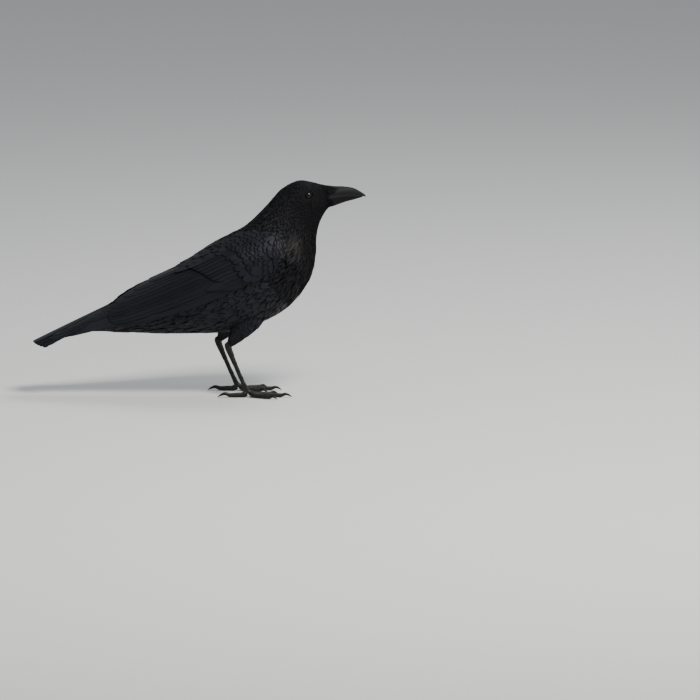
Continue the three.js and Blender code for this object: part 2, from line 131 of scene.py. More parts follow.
# direction from straight ahead in degrees, length, radius, claw length, claw radius, scutes along it
TOES = {
    "hallux": (176, 19, 3.3, 16.5, 2.5, 6),
    "inner": (-27, 26, 3.0, 12.5, 2.0, 9),
    "middle": (2, 37, 3.2, 13.5, 2.1, 13),
    "outer": (31, 27, 3.0, 11.5, 1.9, 9),
}
TAIL_ROOT, TAIL_TIP = (-46.0, 142.0), (-205.65, 62.6)
TAIL_FAN, TAIL_FEATHER_HALF_WIDTH, TAIL_ROOT_HALF_WIDTH, TAIL_ARCH, TAIL_ROUNDING = 4.8, 11.8, 6.0, 8.5, 13.0
# plumage outline: dorsal x, z, ventral x, z, half width, height of the widest line, squareness
BODY = np.array([
    [151.0, 261.0, 160.5, 235.0, 11.5, 0.55, 2.2],
    [137.5, 264.6, 153.0, 223.6, 18.4, 0.5, 2.25],
    [121.5, 265.8, 146.8, 209.5, 21.8, 0.5, 2.2],
    [101.5, 255.4, 144.0, 193.0, 25.0, 0.52, 2.15],
    [80.5, 232.5, 143.0, 172.0, 31.5, 0.54, 2.15],
    [55.5, 209.1, 134.5, 141.5, 42.0, 0.51, 2.2],
    [16.0, 188.0, 101.5, 103.5, 48.0, 0.49, 2.25],
    [-25.0, 161.8, 44.0, 81.0, 44.0, 0.48, 2.25],
    [-68.0, 139.0, -16.0, 77.0, 34.0, 0.46, 2.2],
    [-106.0, 115.5, -78.0, 78.0, 24.5, 0.42, 2.15],
    [-137.0, 98.3, -126.0, 80.5, 17.0, 0.4, 2.1],
    [-158.0, 86.8, -154.0, 80.5, 9.5, 0.4, 2.1],
])
STATIONS = len(BODY) - 1
# folded wing, left side: lower edge x, y, z, upper edge x, y, z, outward bow; the last two rows run on to the tip of the primaries
WING = np.array([
    [113.0, 37.5, 176.0, 115.0, 35.5, 188.0, 3.0],
    [88.0, 46.5, 156.0, 92.0, 35.0, 205.5, 9.0],
    [48.0, 53.0, 134.5, 48.0, 22.0, 201.0, 15.0],
    [0.0, 51.5, 114.5, 0.0, 13.5, 175.0, 16.5],
    [-52.0, 43.0, 98.5, -50.0, 7.0, 151.5, 12.0],
    [-98.0, 34.0, 89.0, -100.0, 5.5, 128.0, 6.5],
    [-145.0, 31.0, 80.0, -143.0, 9.0, 101.0, 3.0],
    [-187.0, 26.5, 69.0, -188.0, 12.5, 77.4, 0.9],
])
# bill: x, top, line of the gape, bottom, half width
BILL = np.array([
    [146.0, 258.2, 243.2, 232.9, 10.4],
    [158.0, 259.3, 244.5, 233.4, 9.9],
    [170.0, 259.3, 246.0, 236.3, 8.2],
    [180.0, 258.9, 247.0, 239.8, 6.4],
    [190.0, 257.2, 247.3, 242.5, 4.6],
    [198.0, 253.2, 247.1, 244.9, 2.7],
])
BILL_UPPER_TIP, BILL_LOWER_TIP = (205.6, 247.6), (201.6, 246.4)


# ---------------------------------------------------------------- curves and surfaces
def spline(table, u):
    """Catmull-Rom through evenly spaced rows for u from 0 to 1, and straight on beyond both ends."""
    p = np.asarray(table, float)
    if p.ndim == 1:
        p = p[:, None]
    n = len(p)
    e = np.vstack([2 * p[0] - p[1], p, 2 * p[-1] - p[-2]])
    x = np.asarray(u, float) * (n - 1)
    i = np.clip(np.floor(x).astype(int), 0, n - 2)
    w = (x - i)[..., None]
    c = np.clip(w, 0, 1)
    p0, p1, p2, p3 = e[i], e[i + 1], e[i + 2], e[i + 3]
    a, b = (p2 - p0) / 2, (p3 - p1) / 2
    q = p1 + a * c + (-3 * p1 + 3 * p2 - 2 * a - b) * c**2 + (2 * p1 - 2 * p2 + a + b) * c**3
    return q + np.where(w < 0, a * w, 0) + np.where(w > 1, b * (w - 1), 0)


def unit(v):
    return v / np.maximum(np.linalg.norm(v, axis=-1, keepdims=True), 1e-9)


def smooth(x):
    x = np.clip(x, 0, 1)
    return x * x * (3 - 2 * x)


def signed_power(v, e):
    return np.sign(v) * np.abs(v) ** e


def body(m, a, h=0.0):
    """A point of the plumage outline at station m (0 face, 11 tail coverts) and angle a (0 dorsal, half pi on the left), h out from it."""
    r = spline(BODY, np.asarray(m, float) / STATIONS)
    top, bottom = r[..., 0:2], r[..., 2:4]
    down = bottom - top
    depth = np.linalg.norm(down, axis=-1, keepdims=True)
    down = down / depth
    half, widest, e = np.maximum(r[..., 4:5], 2.5), r[..., 5:6], 2 / r[..., 6:7]
    a = np.asarray(a, float)[..., None]
    h = np.asarray(h, float)
    h = h[..., None] if h.ndim else h
    c, s = signed_power(np.cos(a), e), signed_power(np.sin(a), e)
    reach = np.where(c > 0, widest, 1 - widest) * depth + h
    xz = top + down * (widest * depth) - down * c * reach
    y = s * (half + h)
    return np.concatenate([xz[..., 0:1], y, xz[..., 1:2]], -1)


def wing(n, v, h=0.0):
    """A point of the folded left wing's outer surface at station n (0 bend, 5 end of the arm, 7 wing tip), v from its lower to its upper edge."""
    r = spline(WING, np.asarray(n, float) / (len(WING) - 1))
    low, up, bow = r[..., 0:3], r[..., 3:6], r[..., 6:7]
    chord = up - low
    out = unit(np.stack([np.zeros_like(chord[..., 0]), chord[..., 2], -chord[..., 1]], -1))
    v = np.asarray(v, float)[..., None]
    h = np.asarray(h, float)
    h = h[..., None] if h.ndim else h
    return low + chord * v + out * (bow * 4 * v * (1 - v) + h)


def frames(place, a, b, sign):
    """Point, the lengths of its two derivatives, and its unit normal."""
    e = 2e-3
    p = place(a, b)
    pa = (place(a + e, b) - place(a - e, b)) / (2 * e)
    pb = (place(a, b + e) - place(a, b - e)) / (2 * e)
    return p, pa, pb, unit(np.cross(pb, pa)) * sign


# ---------------------------------------------------------------- meshes
class Parts:
    """Vertices, quads and maps of many like pieces, gathered for one mesh."""

    def __init__(self):
        self.v, self.q, self.vane, self.bake, self.tone, self.count = [], [], [], [], [], 0

    def add(self, v, q, vane, bake, tone):
        self.v.append(v)
        self.q.append(q + self.count)
        self.vane.append(vane)
        self.bake.append(bake)
        self.tone.append(tone)
        self.count += len(v)

    def mirrored(self):
        out = Parts()
        for v, q, vane, bake, tone in zip(self.v, self.q, self.vane, self.bake, self.tone):
            out.v.append(v * [1, -1, 1])
            out.q.append(q[:, ::-1])
            out.vane.append(vane)
            out.bake.append(bake)
            out.tone.append(tone)
        out.count = self.count
        return out


PIECES = []


def piece(name, parts, material, replaces=()):
    """One mesh object from Parts, riding on the one rigid body."""
    v, q = np.concatenate(parts.v), np.concatenate(parts.q)
    me = bpy.data.meshes.new(name)
    me.vertices.add(len(v))
    me.vertices.foreach_set("co", (v * MM).astype(np.float32).ravel())
    me.loops.add(q.size)
    me.loops.foreach_set("vertex_index", q.astype(np.int32).ravel())
    me.polygons.add(len(q))
    me.polygons.foreach_set("loop_start", np.arange(0, q.size, 4, dtype=np.int32))
    me.update(calc_edges=True)
    me.polygons.foreach_set("use_smooth", np.ones(len(q), bool))
    corner = q.ravel()
    for map_name, values in (("OFBake", parts.bake), ("Vane", parts.vane)):
        layer = me.uv_layers.new(name=map_name, do_init=False)
        layer.uv.foreach_set("vector", np.concatenate(values)[corner].astype(np.float32).ravel())
    me.uv_layers.active = me.uv_layers["OFBake"]
    tone = me.attributes.new("tone", "FLOAT_COLOR", "POINT")
    tone.data.foreach_set("color", np.concatenate(parts.tone).astype(np.float32).ravel())
    me.materials.append(material)
    o = bpy.data.objects.new(name, me)
    scene.collection.objects.link(o)
    return keep(o, replaces)


def keep(o, replaces=()):
    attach(o, "root")
    if replaces:
        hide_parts(*replaces)
    PIECES.append(o)
    return o


def vane_faces(rows, columns):
    """Quads of one closed vane: an upper grid and a lower one that share their border."""
    r, c = rows + 1, columns + 1
    up = np.arange(r * c).reshape(r, c)
    low = up.copy()
    low[1:-1, 1:-1] = r * c + np.arange((r - 2) * (c - 2)).reshape(r - 2, c - 2)
    top = np.stack([up[:-1, :-1], up[:-1, 1:], up[1:, 1:], up[1:, :-1]], -1).reshape(-1, 4)
    under = np.stack([low[:-1, :-1], low[1:, :-1], low[1:, 1:], low[:-1, 1:]], -1).reshape(-1, 4)
    return np.concatenate([top, under])


def spread(x, count):
    x = np.asarray(x, float)
    return np.full(count, float(x)) if x.ndim == 0 else x


def pack_vanes(parts, points, normals, thick, across, along, root_uv, tone, sign, patch=0.003):
    """Adds closed vanes to parts from their upper grids: points, normals (M, rows, columns, 3), thickness (M or number)."""
    m, r, c, _ = points.shape
    t = np.linspace(-1, 1, c)
    body_ = (1 - t**2)[1:-1] ** 0.5
    thick = spread(thick, m)[:, None, None, None]
    low = points[:, 1:-1, 1:-1] - normals[:, 1:-1, 1:-1] * thick * body_[None, None, :, None]
    v = np.concatenate([points.reshape(m, -1, 3), low.reshape(m, -1, 3)], 1)
    f = vane_faces(r - 1, c - 1)
    if sign < 0:
        f = f[:, ::-1]
    per = v.shape[1]
    q = (f[None] + (np.arange(m) * per)[:, None, None]).reshape(-1, 4)

    def both(x):
        return np.concatenate([x.reshape(m, r * c, -1), x[:, 1:-1, 1:-1].reshape(m, (r - 2) * (c - 2), -1)], 1)

    vane = both(np.stack([across * 0.01 + 0.5, along * 0.01], -1))
    s = np.linspace(-0.5, 0.5, r)[None, :, None] * np.ones((m, 1, c))
    tt = (t / 2)[None, None, :] * np.ones((m, r, 1))
    size = np.asarray(patch, float) * np.ones(2)
    bake = both(np.stack([tt * size[0], s * size[1]], -1)) + root_uv[:, None, :]
    full = np.empty((m, r, c, 4))
    full[..., 0] = tone[:, 0][:, None, None]
    full[..., 1] = tone[:, 1][:, None, None]
    full[..., 2] = (s + 0.5)
    full[..., 3] = tone[:, 2][:, None, None]
    parts.add(v.reshape(-1, 3), q, vane.reshape(-1, 2), bake.reshape(-1, 2), both(full).reshape(-1, 4))


def vanes(parts, place, a, b, length, half, *, seed, unwrap, sign=1, yaw=0.0, root=-3.0, tip=0.0, hold=3.0, cup=0.07, layer=0.0,
          rounding=0.36, blunt=2.6, fray=0.1, rows=6, columns=6, narrow=0.45, thick=0.12, loose=0.12, wear_and_sheen=0.0, wave=0.0, kind=0.0, roll=0.0):
    """Many small feathers on a surface: each grows from (a, b) along +a, lies on the outline at its tip and is cupped round it."""
    g = np.random.default_rng(seed)
    m = len(a)
    if not m:
        return
    length, half, yaw, root, tip = (spread(x, m) for x in (length, half, yaw, root, tip))
    s, t = np.linspace(0, 1, rows + 1), np.linspace(-1, 1, columns + 1)
    notch = fray * g.random((m, columns + 1)) ** 3
    ends = (1 - rounding * np.abs(t) ** blunt)[None] * (1 - notch)
    along = length[:, None, None] * s[None, :, None] * ends[:, None, :]
    width = narrow + (1 - narrow) * smooth(s / 0.55) - 0.16 * s**4
    across = half[:, None, None] * width[None, :, None] * t[None, None, :] * (1 + 0.08 * g.normal(size=(m, 1, 1)))
    bend = g.normal(size=(m, 1, 1)) * 0.06
    across = across + bend * along**2 / np.maximum(length[:, None, None], 1e-3)
    _, pa, pb, _ = frames(place, a, b, sign)
    la, lb = (np.linalg.norm(x, axis=-1)[:, None, None] for x in (pa, pb))
    cos, sin = np.cos(yaw)[:, None, None], np.sin(yaw)[:, None, None]
    aa = a[:, None, None] + (along * cos - across * sin) / la
    bb = b[:, None, None] + (along * sin + across * cos) / lb
    p, _, _, n = frames(place, aa, bb, sign)
    rise = 1 - (1 - s) ** hold
    h = root[:, None, None] + (tip - root)[:, None, None] * rise[None, :, None]
    h = h - layer * (1 - s)[None, :, None] + loose * g.normal(size=(m, 1, 1)) * s[None, :, None]
    h = h + (roll * g.normal(size=(m, 1, 1)) * t[None, None, :]) * half[:, None, None] * s[None, :, None]
    h = h - cup * half[:, None, None] * (t**2)[None, None, :] * (0.4 + 0.6 * width)[None, :, None]
    if wave:
        h = h + wave * np.sin(along * 0.55 + g.random((m, 1, 1)) * 6.3 + 2.2 * t[None, None, :]) * s[None, :, None]
    h = h + fray * 0.25 * g.normal(size=(m, 1, columns + 1)) * (s**3)[None, :, None]
    tone = np.stack([g.random(m), spread(wear_and_sheen, m), spread(kind, m)], 1)
    pack_vanes(parts, p + n * h[..., None], n, thick, across, along, unwrap, tone, sign)


# ---------------------------------------------------------------- materials
def nodes_of(name):
    m = bpy.data.materials.new(name)
    m.use_nodes = True
    t = m.node_tree
    return m, t, t.nodes["Principled BSDF"]


class Graph:
    """Short names for building a material's nodes."""

    def __init__(self, tree):
        self.t = tree

    def node(self, kind, **props):
        n = self.t.nodes.new(kind)
        for k, v in props.items():
            setattr(n, k, v)
        return n

    def link(self, a, b):
        self.t.links.new(a, b)

    def put(self, socket, value):
        if hasattr(value, "is_output"):
            self.link(value, socket)
        else:
            socket.default_value = value

    def math(self, op, a, b=0.0, c=None, clamp=False):
        n = self.node("ShaderNodeMath", operation=op, use_clamp=clamp)
        self.put(n.inputs[0], a)
        self.put(n.inputs[1], b)
        if c is not None:
            self.put(n.inputs[2], c)
        return n.outputs[0]

    def mix(self, f, a, b):
        n = self.node("ShaderNodeMix", data_type="RGBA")
        self.put(n.inputs[0], f)
        self.put(n.inputs[6], a)
        self.put(n.inputs[7], b)
        return n.outputs[2]

    def ramp(self, value, *stops):
        n = self.node("ShaderNodeValToRGB")
        e = n.color_ramp.elements
        while len(e) < len(stops):
            e.new(0.5)
        for slot, (at, colour) in zip(e, stops):
            slot.position = at
            slot.color = (*colour, 1) if len(colour) == 3 else colour
        self.put(n.inputs[0], value)
        return n.outputs[0]

    def range(self, value, a, b, c, d, smooth_=False):
        n = self.node("ShaderNodeMapRange", interpolation_type="SMOOTHSTEP" if smooth_ else "LINEAR")
        for i, x in enumerate((value, a, b, c, d)):
            self.put(n.inputs[i], x)
        return n.outputs[0]

    def noise(self, vector, scale, detail=3.0, rough=0.55):
        n = self.node("ShaderNodeTexNoise")
        if vector is not None:
            self.link(vector, n.inputs["Vector"])
        n.inputs["Scale"].default_value = scale
        n.inputs["Detail"].default_value = detail
        n.inputs["Roughness"].default_value = rough
        return n.outputs["Fac"]

    def xyz(self, x, y, z):
        n = self.node("ShaderNodeCombineXYZ")
        for i, v in enumerate((x, y, z)):
            self.put(n.inputs[i], v)
        return n.outputs[0]

    def bump(self, height, strength, distance, normal=None):
        n = self.node("ShaderNodeBump")
        n.inputs["Strength"].default_value = strength
        n.inputs["Distance"].default_value = distance
        self.link(height, n.inputs["Height"])
        if normal is not None:
            self.link(normal, n.inputs["Normal"])
        return n.outputs[0]


def feather_material(name, dark, light, rough, tint, spec, barb_mm, barb_depth, coat=0.0, sheen=0.0, shaft=0.0):
    """Black plumage: barbs slant off the shaft, each feather differs a little, tips are glossier than bases."""
    m, tree, b = nodes_of(name)
    g = Graph(tree)
    uv = g.node("ShaderNodeUVMap", uv_map="Vane").outputs[0]
    sep = g.node("ShaderNodeSeparateXYZ")
    g.link(uv, sep.inputs[0])
    x = g.math("ABSOLUTE", g.math("SUBTRACT", sep.outputs[0], 0.5))  # hundredths of a mm across from the shaft, in units of 100 mm
    y = sep.outputs[1]
    tone = g.node("ShaderNodeAttribute", attribute_name="tone")
    split = g.node("ShaderNodeSeparateColor")
    g.link(tone.outputs["Color"], split.inputs[0])
    own, wear_and_sheen, along = split.outputs[0], split.outputs[1], split.outputs[2]
    barb = g.math("SUBTRACT", y, g.math("MULTIPLY", x, 1.15))
    # barbs: a fine regular comb, broken up by a noise drawn out along them
    comb = g.math("SINE", g.math("MULTIPLY", barb, 2 * math.pi / (barb_mm * 0.01)))
    streak = g.noise(g.xyz(g.math("MULTIPLY", x, 14.0), g.math("MULTIPLY", barb, 190.0), g.math("MULTIPLY", own, 40.0)), 1.0, 3.0, 0.6)
    broad = g.noise(g.xyz(g.math("MULTIPLY", x, 8.0), g.math("MULTIPLY", barb, 34.0), g.math("MULTIPLY", own, 17.0)), 1.0, 2.0, 0.5)
    place = g.node("ShaderNodeTexCoord").outputs["Object"]
    patches = g.noise(place, 26.0, 2.0, 0.5)
    # colour
    f = g.math("ADD", g.math("MULTIPLY", own, 0.34), g.math("ADD", g.math("MULTIPLY", broad, 0.36), g.math("MULTIPLY", patches, 0.3)))
    colour = g.mix(g.range(f, 0.25, 0.8, 0.0, 1.0), (*dark, 1), (*light, 1))
    # painted shade: each feather's colour darkens towards its base, which lies under the feathers above
    base_shade = tuple(0.55 * d for d in dark)
    colour = g.mix(g.range(along, 0.1, 0.75, 0.75, 0.0), colour, (*base_shade, 1))
    # paler grey-brown where the second tone channel is set: real wear on single feathers, and on the patches by the
    # bend of the wing partly wear, partly a painted sunlit sheen
    colour = g.mix(g.math("MULTIPLY", wear_and_sheen, g.range(streak, 0.3, 0.7, 0.5, 1.0)), colour, (0.051, 0.0475, 0.043, 1))
    if shaft:
        line = g.range(x, 0.0025 * 0.9, 0.0045, 1.0, 0.0, True)
        colour = g.mix(g.math("MULTIPLY", line, shaft), colour, (0.020, 0.019, 0.020, 1))
    g.link(colour, b.inputs["Base Color"])
    # gloss: dull at the base of a feather and where it is worn
    r = g.math("ADD", g.math("MULTIPLY", streak, 0.16), g.math("ADD", g.math("MULTIPLY", own, 0.07), rough - 0.115))
    r = g.math("ADD", r, g.math("ADD", g.math("MULTIPLY", wear_and_sheen, 0.22), g.range(along, 0.2, 0.8, 0.1, 0.0)), clamp=True)
    g.link(r, b.inputs["Roughness"])
    b.inputs["Specular IOR Level"].default_value = spec
    b.inputs["Specular Tint"].default_value = (*tint, 1)
    b.inputs["Coat Weight"].default_value = coat
    b.inputs["Coat Roughness"].default_value = 0.32
    b.inputs["Coat Tint"].default_value = (*tint, 1)
    b.inputs["Sheen Weight"].default_value = sheen
    b.inputs["Sheen Roughness"].default_value = 0.45
    b.inputs["Sheen Tint"].default_value = (0.62, 0.66, 0.85, 1)
    h = g.math("ADD", g.math("MULTIPLY", comb, 0.22), streak)
    n = g.bump(h, 0.55, barb_depth * MM)
    n = g.bump(broad, 0.35, barb_depth * 2.4 * MM, n)
    g.link(n, b.inputs["Normal"])
    return m


def skin_material():
    """Dark skin under the feathers; on the bare legs it turns to small scales."""
    m, tree, b = nodes_of("skin")
    g = Graph(tree)
    place = g.node("ShaderNodeTexCoord").outputs["Object"]
    fine, soft = g.noise(place, 900.0, 4.0), g.noise(place, 60.0, 3.0)
    sep = g.node("ShaderNodeSeparateXYZ")
    g.link(place, sep.inputs[0])
    leg = g.range(sep.outputs[2], 0.060, 0.068, 1.0, 0.0)
    cells = g.node("ShaderNodeTexVoronoi", feature="DISTANCE_TO_EDGE")
    cells.inputs["Scale"].default_value = 620.0
    g.link(place, cells.inputs["Vector"])
    crack = g.range(cells.outputs["Distance"], 0.0, 0.16, 0.0, 1.0, True)
    bare = g.mix(soft, (0.005, 0.005, 0.0055, 1), (0.011, 0.0105, 0.0105, 1))
    scaly = g.mix(g.math("MULTIPLY", crack, g.range(fine, 0.3, 0.7, 0.6, 1.0)), (0.005, 0.005, 0.005, 1), (0.016, 0.0155, 0.0155, 1))
    g.link(g.mix(leg, bare, scaly), b.inputs["Base Color"])
    g.link(g.math("ADD", g.math("MULTIPLY", fine, 0.25), 0.36), b.inputs["Roughness"])
    h = g.math("ADD", g.math("MULTIPLY", crack, leg), g.math("MULTIPLY", fine, 0.35))
    g.link(g.bump(h, 0.6, 0.18 * MM), b.inputs["Normal"])
    b.inputs["Specular IOR Level"].default_value = 0.2
    return m


def horn_material(name, dark, light, rough, grain, wear=0.0, along=(1, 0, 0), spec=0.25):
    """Keratin: fine lines along it, small scratches, paler where it wears."""
    m, tree, b = nodes_of(name)
    g = Graph(tree)
    place = g.node("ShaderNodeTexCoord").outputs["Object"]
    stretch = g.node("ShaderNodeMapping")
    g.link(place, stretch.inputs["Vector"])
    stretch.inputs["Scale"].default_value = tuple(grain * (0.09 if k else 1.0) for k in along)
    lines = g.noise(stretch.outputs[0], 1.0, 5.0, 0.65)
    cloud = g.noise(place, 130.0, 3.0)
    speck = g.noise(place, 1500.0, 2.0)
    f = g.math("ADD", g.math("MULTIPLY", lines, 0.55), g.math("MULTIPLY", cloud, 0.45))
    colour = g.mix(g.range(f, 0.32, 0.68, 0.0, 1.0), (*dark, 1), (*light, 1))
    tone = g.node("ShaderNodeAttribute", attribute_name="tone")
    split = g.node("ShaderNodeSeparateColor")
    g.link(tone.outputs["Color"], split.inputs[0])
    edge = g.math("MULTIPLY", split.outputs[1], g.range(lines, 0.35, 0.7, 0.25, 1.0))
    colour = g.mix(g.math("MULTIPLY", edge, wear), colour, (0.10, 0.095, 0.09, 1))
    g.link(colour, b.inputs["Base Color"])
    r = g.math("ADD", g.math("MULTIPLY", lines, 0.2), g.math("ADD", g.math("MULTIPLY", edge, 0.15), rough - 0.1))
    g.link(r, b.inputs["Roughness"])
    b.inputs["Specular IOR Level"].default_value = spec
    h = g.math("ADD", lines, g.math("MULTIPLY", speck, 0.25))
    g.link(g.bump(h, 0.35, 0.12 * MM), b.inputs["Normal"])
    return m


def eye_material():
    """Dark brown iris round a black pupil, under a wet cornea."""
    m, tree, b = nodes_of("eye")
    g = Graph(tree)
    tone = g.node("ShaderNodeAttribute", attribute_name="tone")
    split = g.node("ShaderNodeSeparateColor")
    g.link(tone.outputs["Color"], split.inputs[0])
    place = g.node("ShaderNodeTexCoord").outputs["Object"]
    fleck = g.noise(place, 1500.0, 3.0)
    ring = g.math("ADD", split.outputs[0], g.math("MULTIPLY", g.math("SUBTRACT", fleck, 0.5), 0.004))
    colour = g.ramp(ring, (0.0, (0.0012, 0.0012, 0.0014)), (0.44, (0.0012, 0.0011, 0.0012)), (0.49, (0.0085, 0.0038, 0.0017)),
                    (0.64, (0.0135, 0.0060, 0.0026)), (0.74, (0.0050, 0.0026, 0.0015)), (0.85, (0.0022, 0.0018, 0.0018)))
    fibres = g.noise(place, 2600.0, 2.0)
    colour = g.mix(g.math("MULTIPLY", g.range(split.outputs[0], 0.52, 0.62, 0.0, 0.4), g.range(fibres, 0.35, 0.65, 0.0, 1.0)), colour, (0.0028, 0.0018, 0.0013, 1))
    g.link(colour, b.inputs["Base Color"])
    b.inputs["Roughness"].default_value = 0.25
    b.inputs["Specular IOR Level"].default_value = 0.0
    b.inputs["Coat Weight"].default_value = 1.0
    b.inputs["Coat Roughness"].default_value = 0.012
    b.inputs["Coat IOR"].default_value = 1.37
    return m


HEAD = feather_material("plumage_head", (0.0031, 0.0031, 0.0034), (0.0072, 0.0072, 0.0078), 0.50, (0.84, 0.87, 1.0), 0.15, 0.34, 0.06)
BODY_MAT = feather_material("plumage_body", (0.0046, 0.0047, 0.0056), (0.0115, 0.0115, 0.0138), 0.47, (0.80, 0.82, 1.0), 0.22, 0.5, 0.12)
WING_MAT = feather_material("plumage_wing", (0.0048, 0.0051, 0.0066), (0.0116, 0.0120, 0.0160), 0.49, (0.76, 0.78, 1.0), 0.16, 0.50, 0.065)
FLIGHT = feather_material("flight_feather", (0.0047, 0.0050, 0.0063), (0.0115, 0.0120, 0.0158), 0.44, (0.76, 0.80, 1.0), 0.18, 0.62, 0.10, shaft=0.6)
SKIN = skin_material()
HORN = horn_material("bill_horn", (0.0050, 0.0050, 0.0057), (0.0110, 0.0112, 0.0130), 0.56, 900.0, wear=0.3, spec=0.12)
# painted shade: the lower half of the bill gets a darker copy of the horn, standing in for the shade under the bill
HORN_LOWER_SHADED = horn_material("bill_horn_lower_shaded", (0.0036, 0.0036, 0.0040), (0.0080, 0.0080, 0.0087), 0.54, 900.0, wear=0.3, spec=0.10)
SCUTE = horn_material("leg_scute", (0.0055, 0.0054, 0.0054), (0.0160, 0.0155, 0.0150), 0.40, 700.0, wear=0.35, along=(0, 0, 1))
CLAW = horn_material("claw_horn", (0.0050, 0.0050, 0.0052), (0.0120, 0.0117, 0.0117), 0.28, 900.0, wear=0.4)
EYE = eye_material()


# ---------------------------------------------------------------- lofts for skin and horn
def loft(rings, centres=None):
    """A closed mesh from rings (rows, around, 3), with a fan on each end; faces look outwards."""
    rings = np.asarray(rings, float)
    r, c, _ = rings.shape
    ends = np.stack([rings[0].mean(0), rings[-1].mean(0)]) if centres is None else np.asarray(centres, float)
    v = np.concatenate([rings.reshape(-1, 3), ends])
    k = np.arange(c)
    faces = []
    for i in range(r - 1):
        a, b = i * c + k, i * c + (k + 1) % c
        faces += np.stack([a, b, b + c, a + c], 1).tolist()
    faces += [(r * c, int((j + 1) % c), int(j)) for j in k]
    faces += [(r * c + 1, int((r - 1) * c + j), int((r - 1) * c + (j + 1) % c)) for j in k]
    volume = 0.0
    for f in faces:
        for j in range(1, len(f) - 1):
            volume += np.dot(v[f[0]], np.cross(v[f[j]], v[f[j + 1]]))
    if volume < 0:
        faces = [tuple(reversed(f)) for f in faces]
    return v, faces


def joined(solids):
    verts, faces, at = [], [], 0
    for v, f in solids:
        verts.append(v)
        faces += [tuple(i + at for i in face) for face in f]
        at += len(v)
    return np.concatenate(verts), faces


def mesh_from(name, solid):
    v, f = solid
    me = bpy.data.meshes.new(name)
    me.from_pydata((v * MM).tolist(), [], [tuple(int(i) for i in face) for face in f])
    me.update()
    o = bpy.data.objects.new(name, me)
    scene.collection.objects.link(o)
    return o


def applied(o):
    """Applies all modifiers of o."""
    bpy.context.view_layer.update()
    deps = bpy.context.evaluated_depsgraph_get()
    me = bpy.data.meshes.new_from_object(o.evaluated_get(deps))
    old = o.data
    o.modifiers.clear()
    o.data = me
    bpy.data.meshes.remove(old)
    return o


def remeshed(o, voxel, rounds, factor=0.5):
    m = o.modifiers.new("remesh", "REMESH")
    m.mode = "VOXEL"
    m.voxel_size = voxel * MM
    m.adaptivity = 0.0
    if rounds:
        s = o.modifiers.new("smooth", "SMOOTH")
        s.factor, s.iterations = factor, rounds
    return applied(o)


def united(a, b):
    m = a.modifiers.new("union", "BOOLEAN")
    m.operation, m.solver, m.object = "UNION", "MANIFOLD", b
    applied(a)
    bpy.data.objects.remove(b)
    return a


def tube_frame(points, u):
    e = 0.01
    p = spline(points, u)
    d = unit(spline(points, np.minimum(u + e, 1)) - spline(points, np.maximum(u - e, 0)))
    side = np.array([0.0, 1.0, 0.0]) - d * d[..., 1:2]
    side = unit(side)
    return p, d, side, np.cross(side, d)


def tube_rings(points, radii, rows, around, flat=1.0, shape=None):
    """Rings of a bent tube; shape(u, angle) scales the radius, angle 0 is on the side that `up` points to."""
    u = np.linspace(0, 1, rows + 1)
    a = np.linspace(0, 2 * math.pi, around, endpoint=False)
    p, d, side, up = tube_frame(points, u)
    r = spline(radii, u)[:, 0][:, None] * np.ones((1, around))
    if shape is not None:
        r = r * shape(u[:, None], a[None, :])
    return p[:, None] + side[:, None] * (np.sin(a)[None, :, None] * r[..., None] * flat) + up[:, None] * (np.cos(a)[None, :, None] * r[..., None])


# ---------------------------------------------------------------- the legs' own lines
def foot_lines(name):
    side = 1 if name == "left" else -1
    x, y = FOOT_X[name], STANCE_HALF_WIDTH * side
    lines = {
        "thigh": ([[x + 10, y * 0.66, 117], [x - 1, y * 0.8, 96], [x - 12, y * 0.9, 79.5], [x - 21.5, y * 0.94, TARSUS_TOP + 4.5]], [21, 17.5, 10.8, 4.4]),
        "shank": ([[x - TARSUS_LEAN + 1.5, y * 0.93, TARSUS_TOP + 4], [x - TARSUS_LEAN, y * 0.93, TARSUS_TOP], [x - 14, y * 0.97, 37], [x - 3, y, 12], [x + 1, y, TOE_JOINT_Z - 0.6]], [3.6, 4.1, 2.7, 2.9, 4.3]),
    }
    for toe, (turn, length, rr, claw, cr, _) in TOES.items():
        a = math.radians(turn) * side
        dx, dy = math.cos(a), math.sin(a)
        start = 3.2 if toe == "hallux" else 5.0
        lift = -0.4 if toe == "hallux" else 0.0

        def on(s, z):
            return [x + dx * (start + s), y + dy * (start + s), z]

        lines[toe] = ([on(-2.6, TOE_JOINT_Z - 0.9 + lift), on(0, TOE_JOINT_Z - 1.6 + lift), on(length * 0.22, rr * 0.92), on(length * 0.48, rr * 0.9), on(length * 0.74, rr * 0.84), on(length, rr * 0.86)],
                      [rr * 0.95, rr * 1.12, rr, rr * 0.98, rr * 0.9, rr * 0.8])
        lines[toe + "_claw"] = ([on(length - 1.6, rr * 0.92), on(length + 0.4, rr * 0.97), on(length + claw * 0.34, rr * 0.97 + claw * 0.1), on(length + claw * 0.67, rr * 0.66 + claw * 0.07), on(length + claw * 0.93, 0.55)],
                                [cr * 0.9, cr, cr * 0.82, cr * 0.52, 0.28])
    return lines, side


# ---------------------------------------------------------------- skin
SKIN_DEPTH = np.array([1.9, 2.3, 2.8, 3.6, 5.0, 6.5, 7.5, 7.5, 7.0, 6.0, 4.5, 3.0])


def skin_depth(m):
    return spline(SKIN_DEPTH, np.asarray(m, float) / STATIONS)[..., 0]


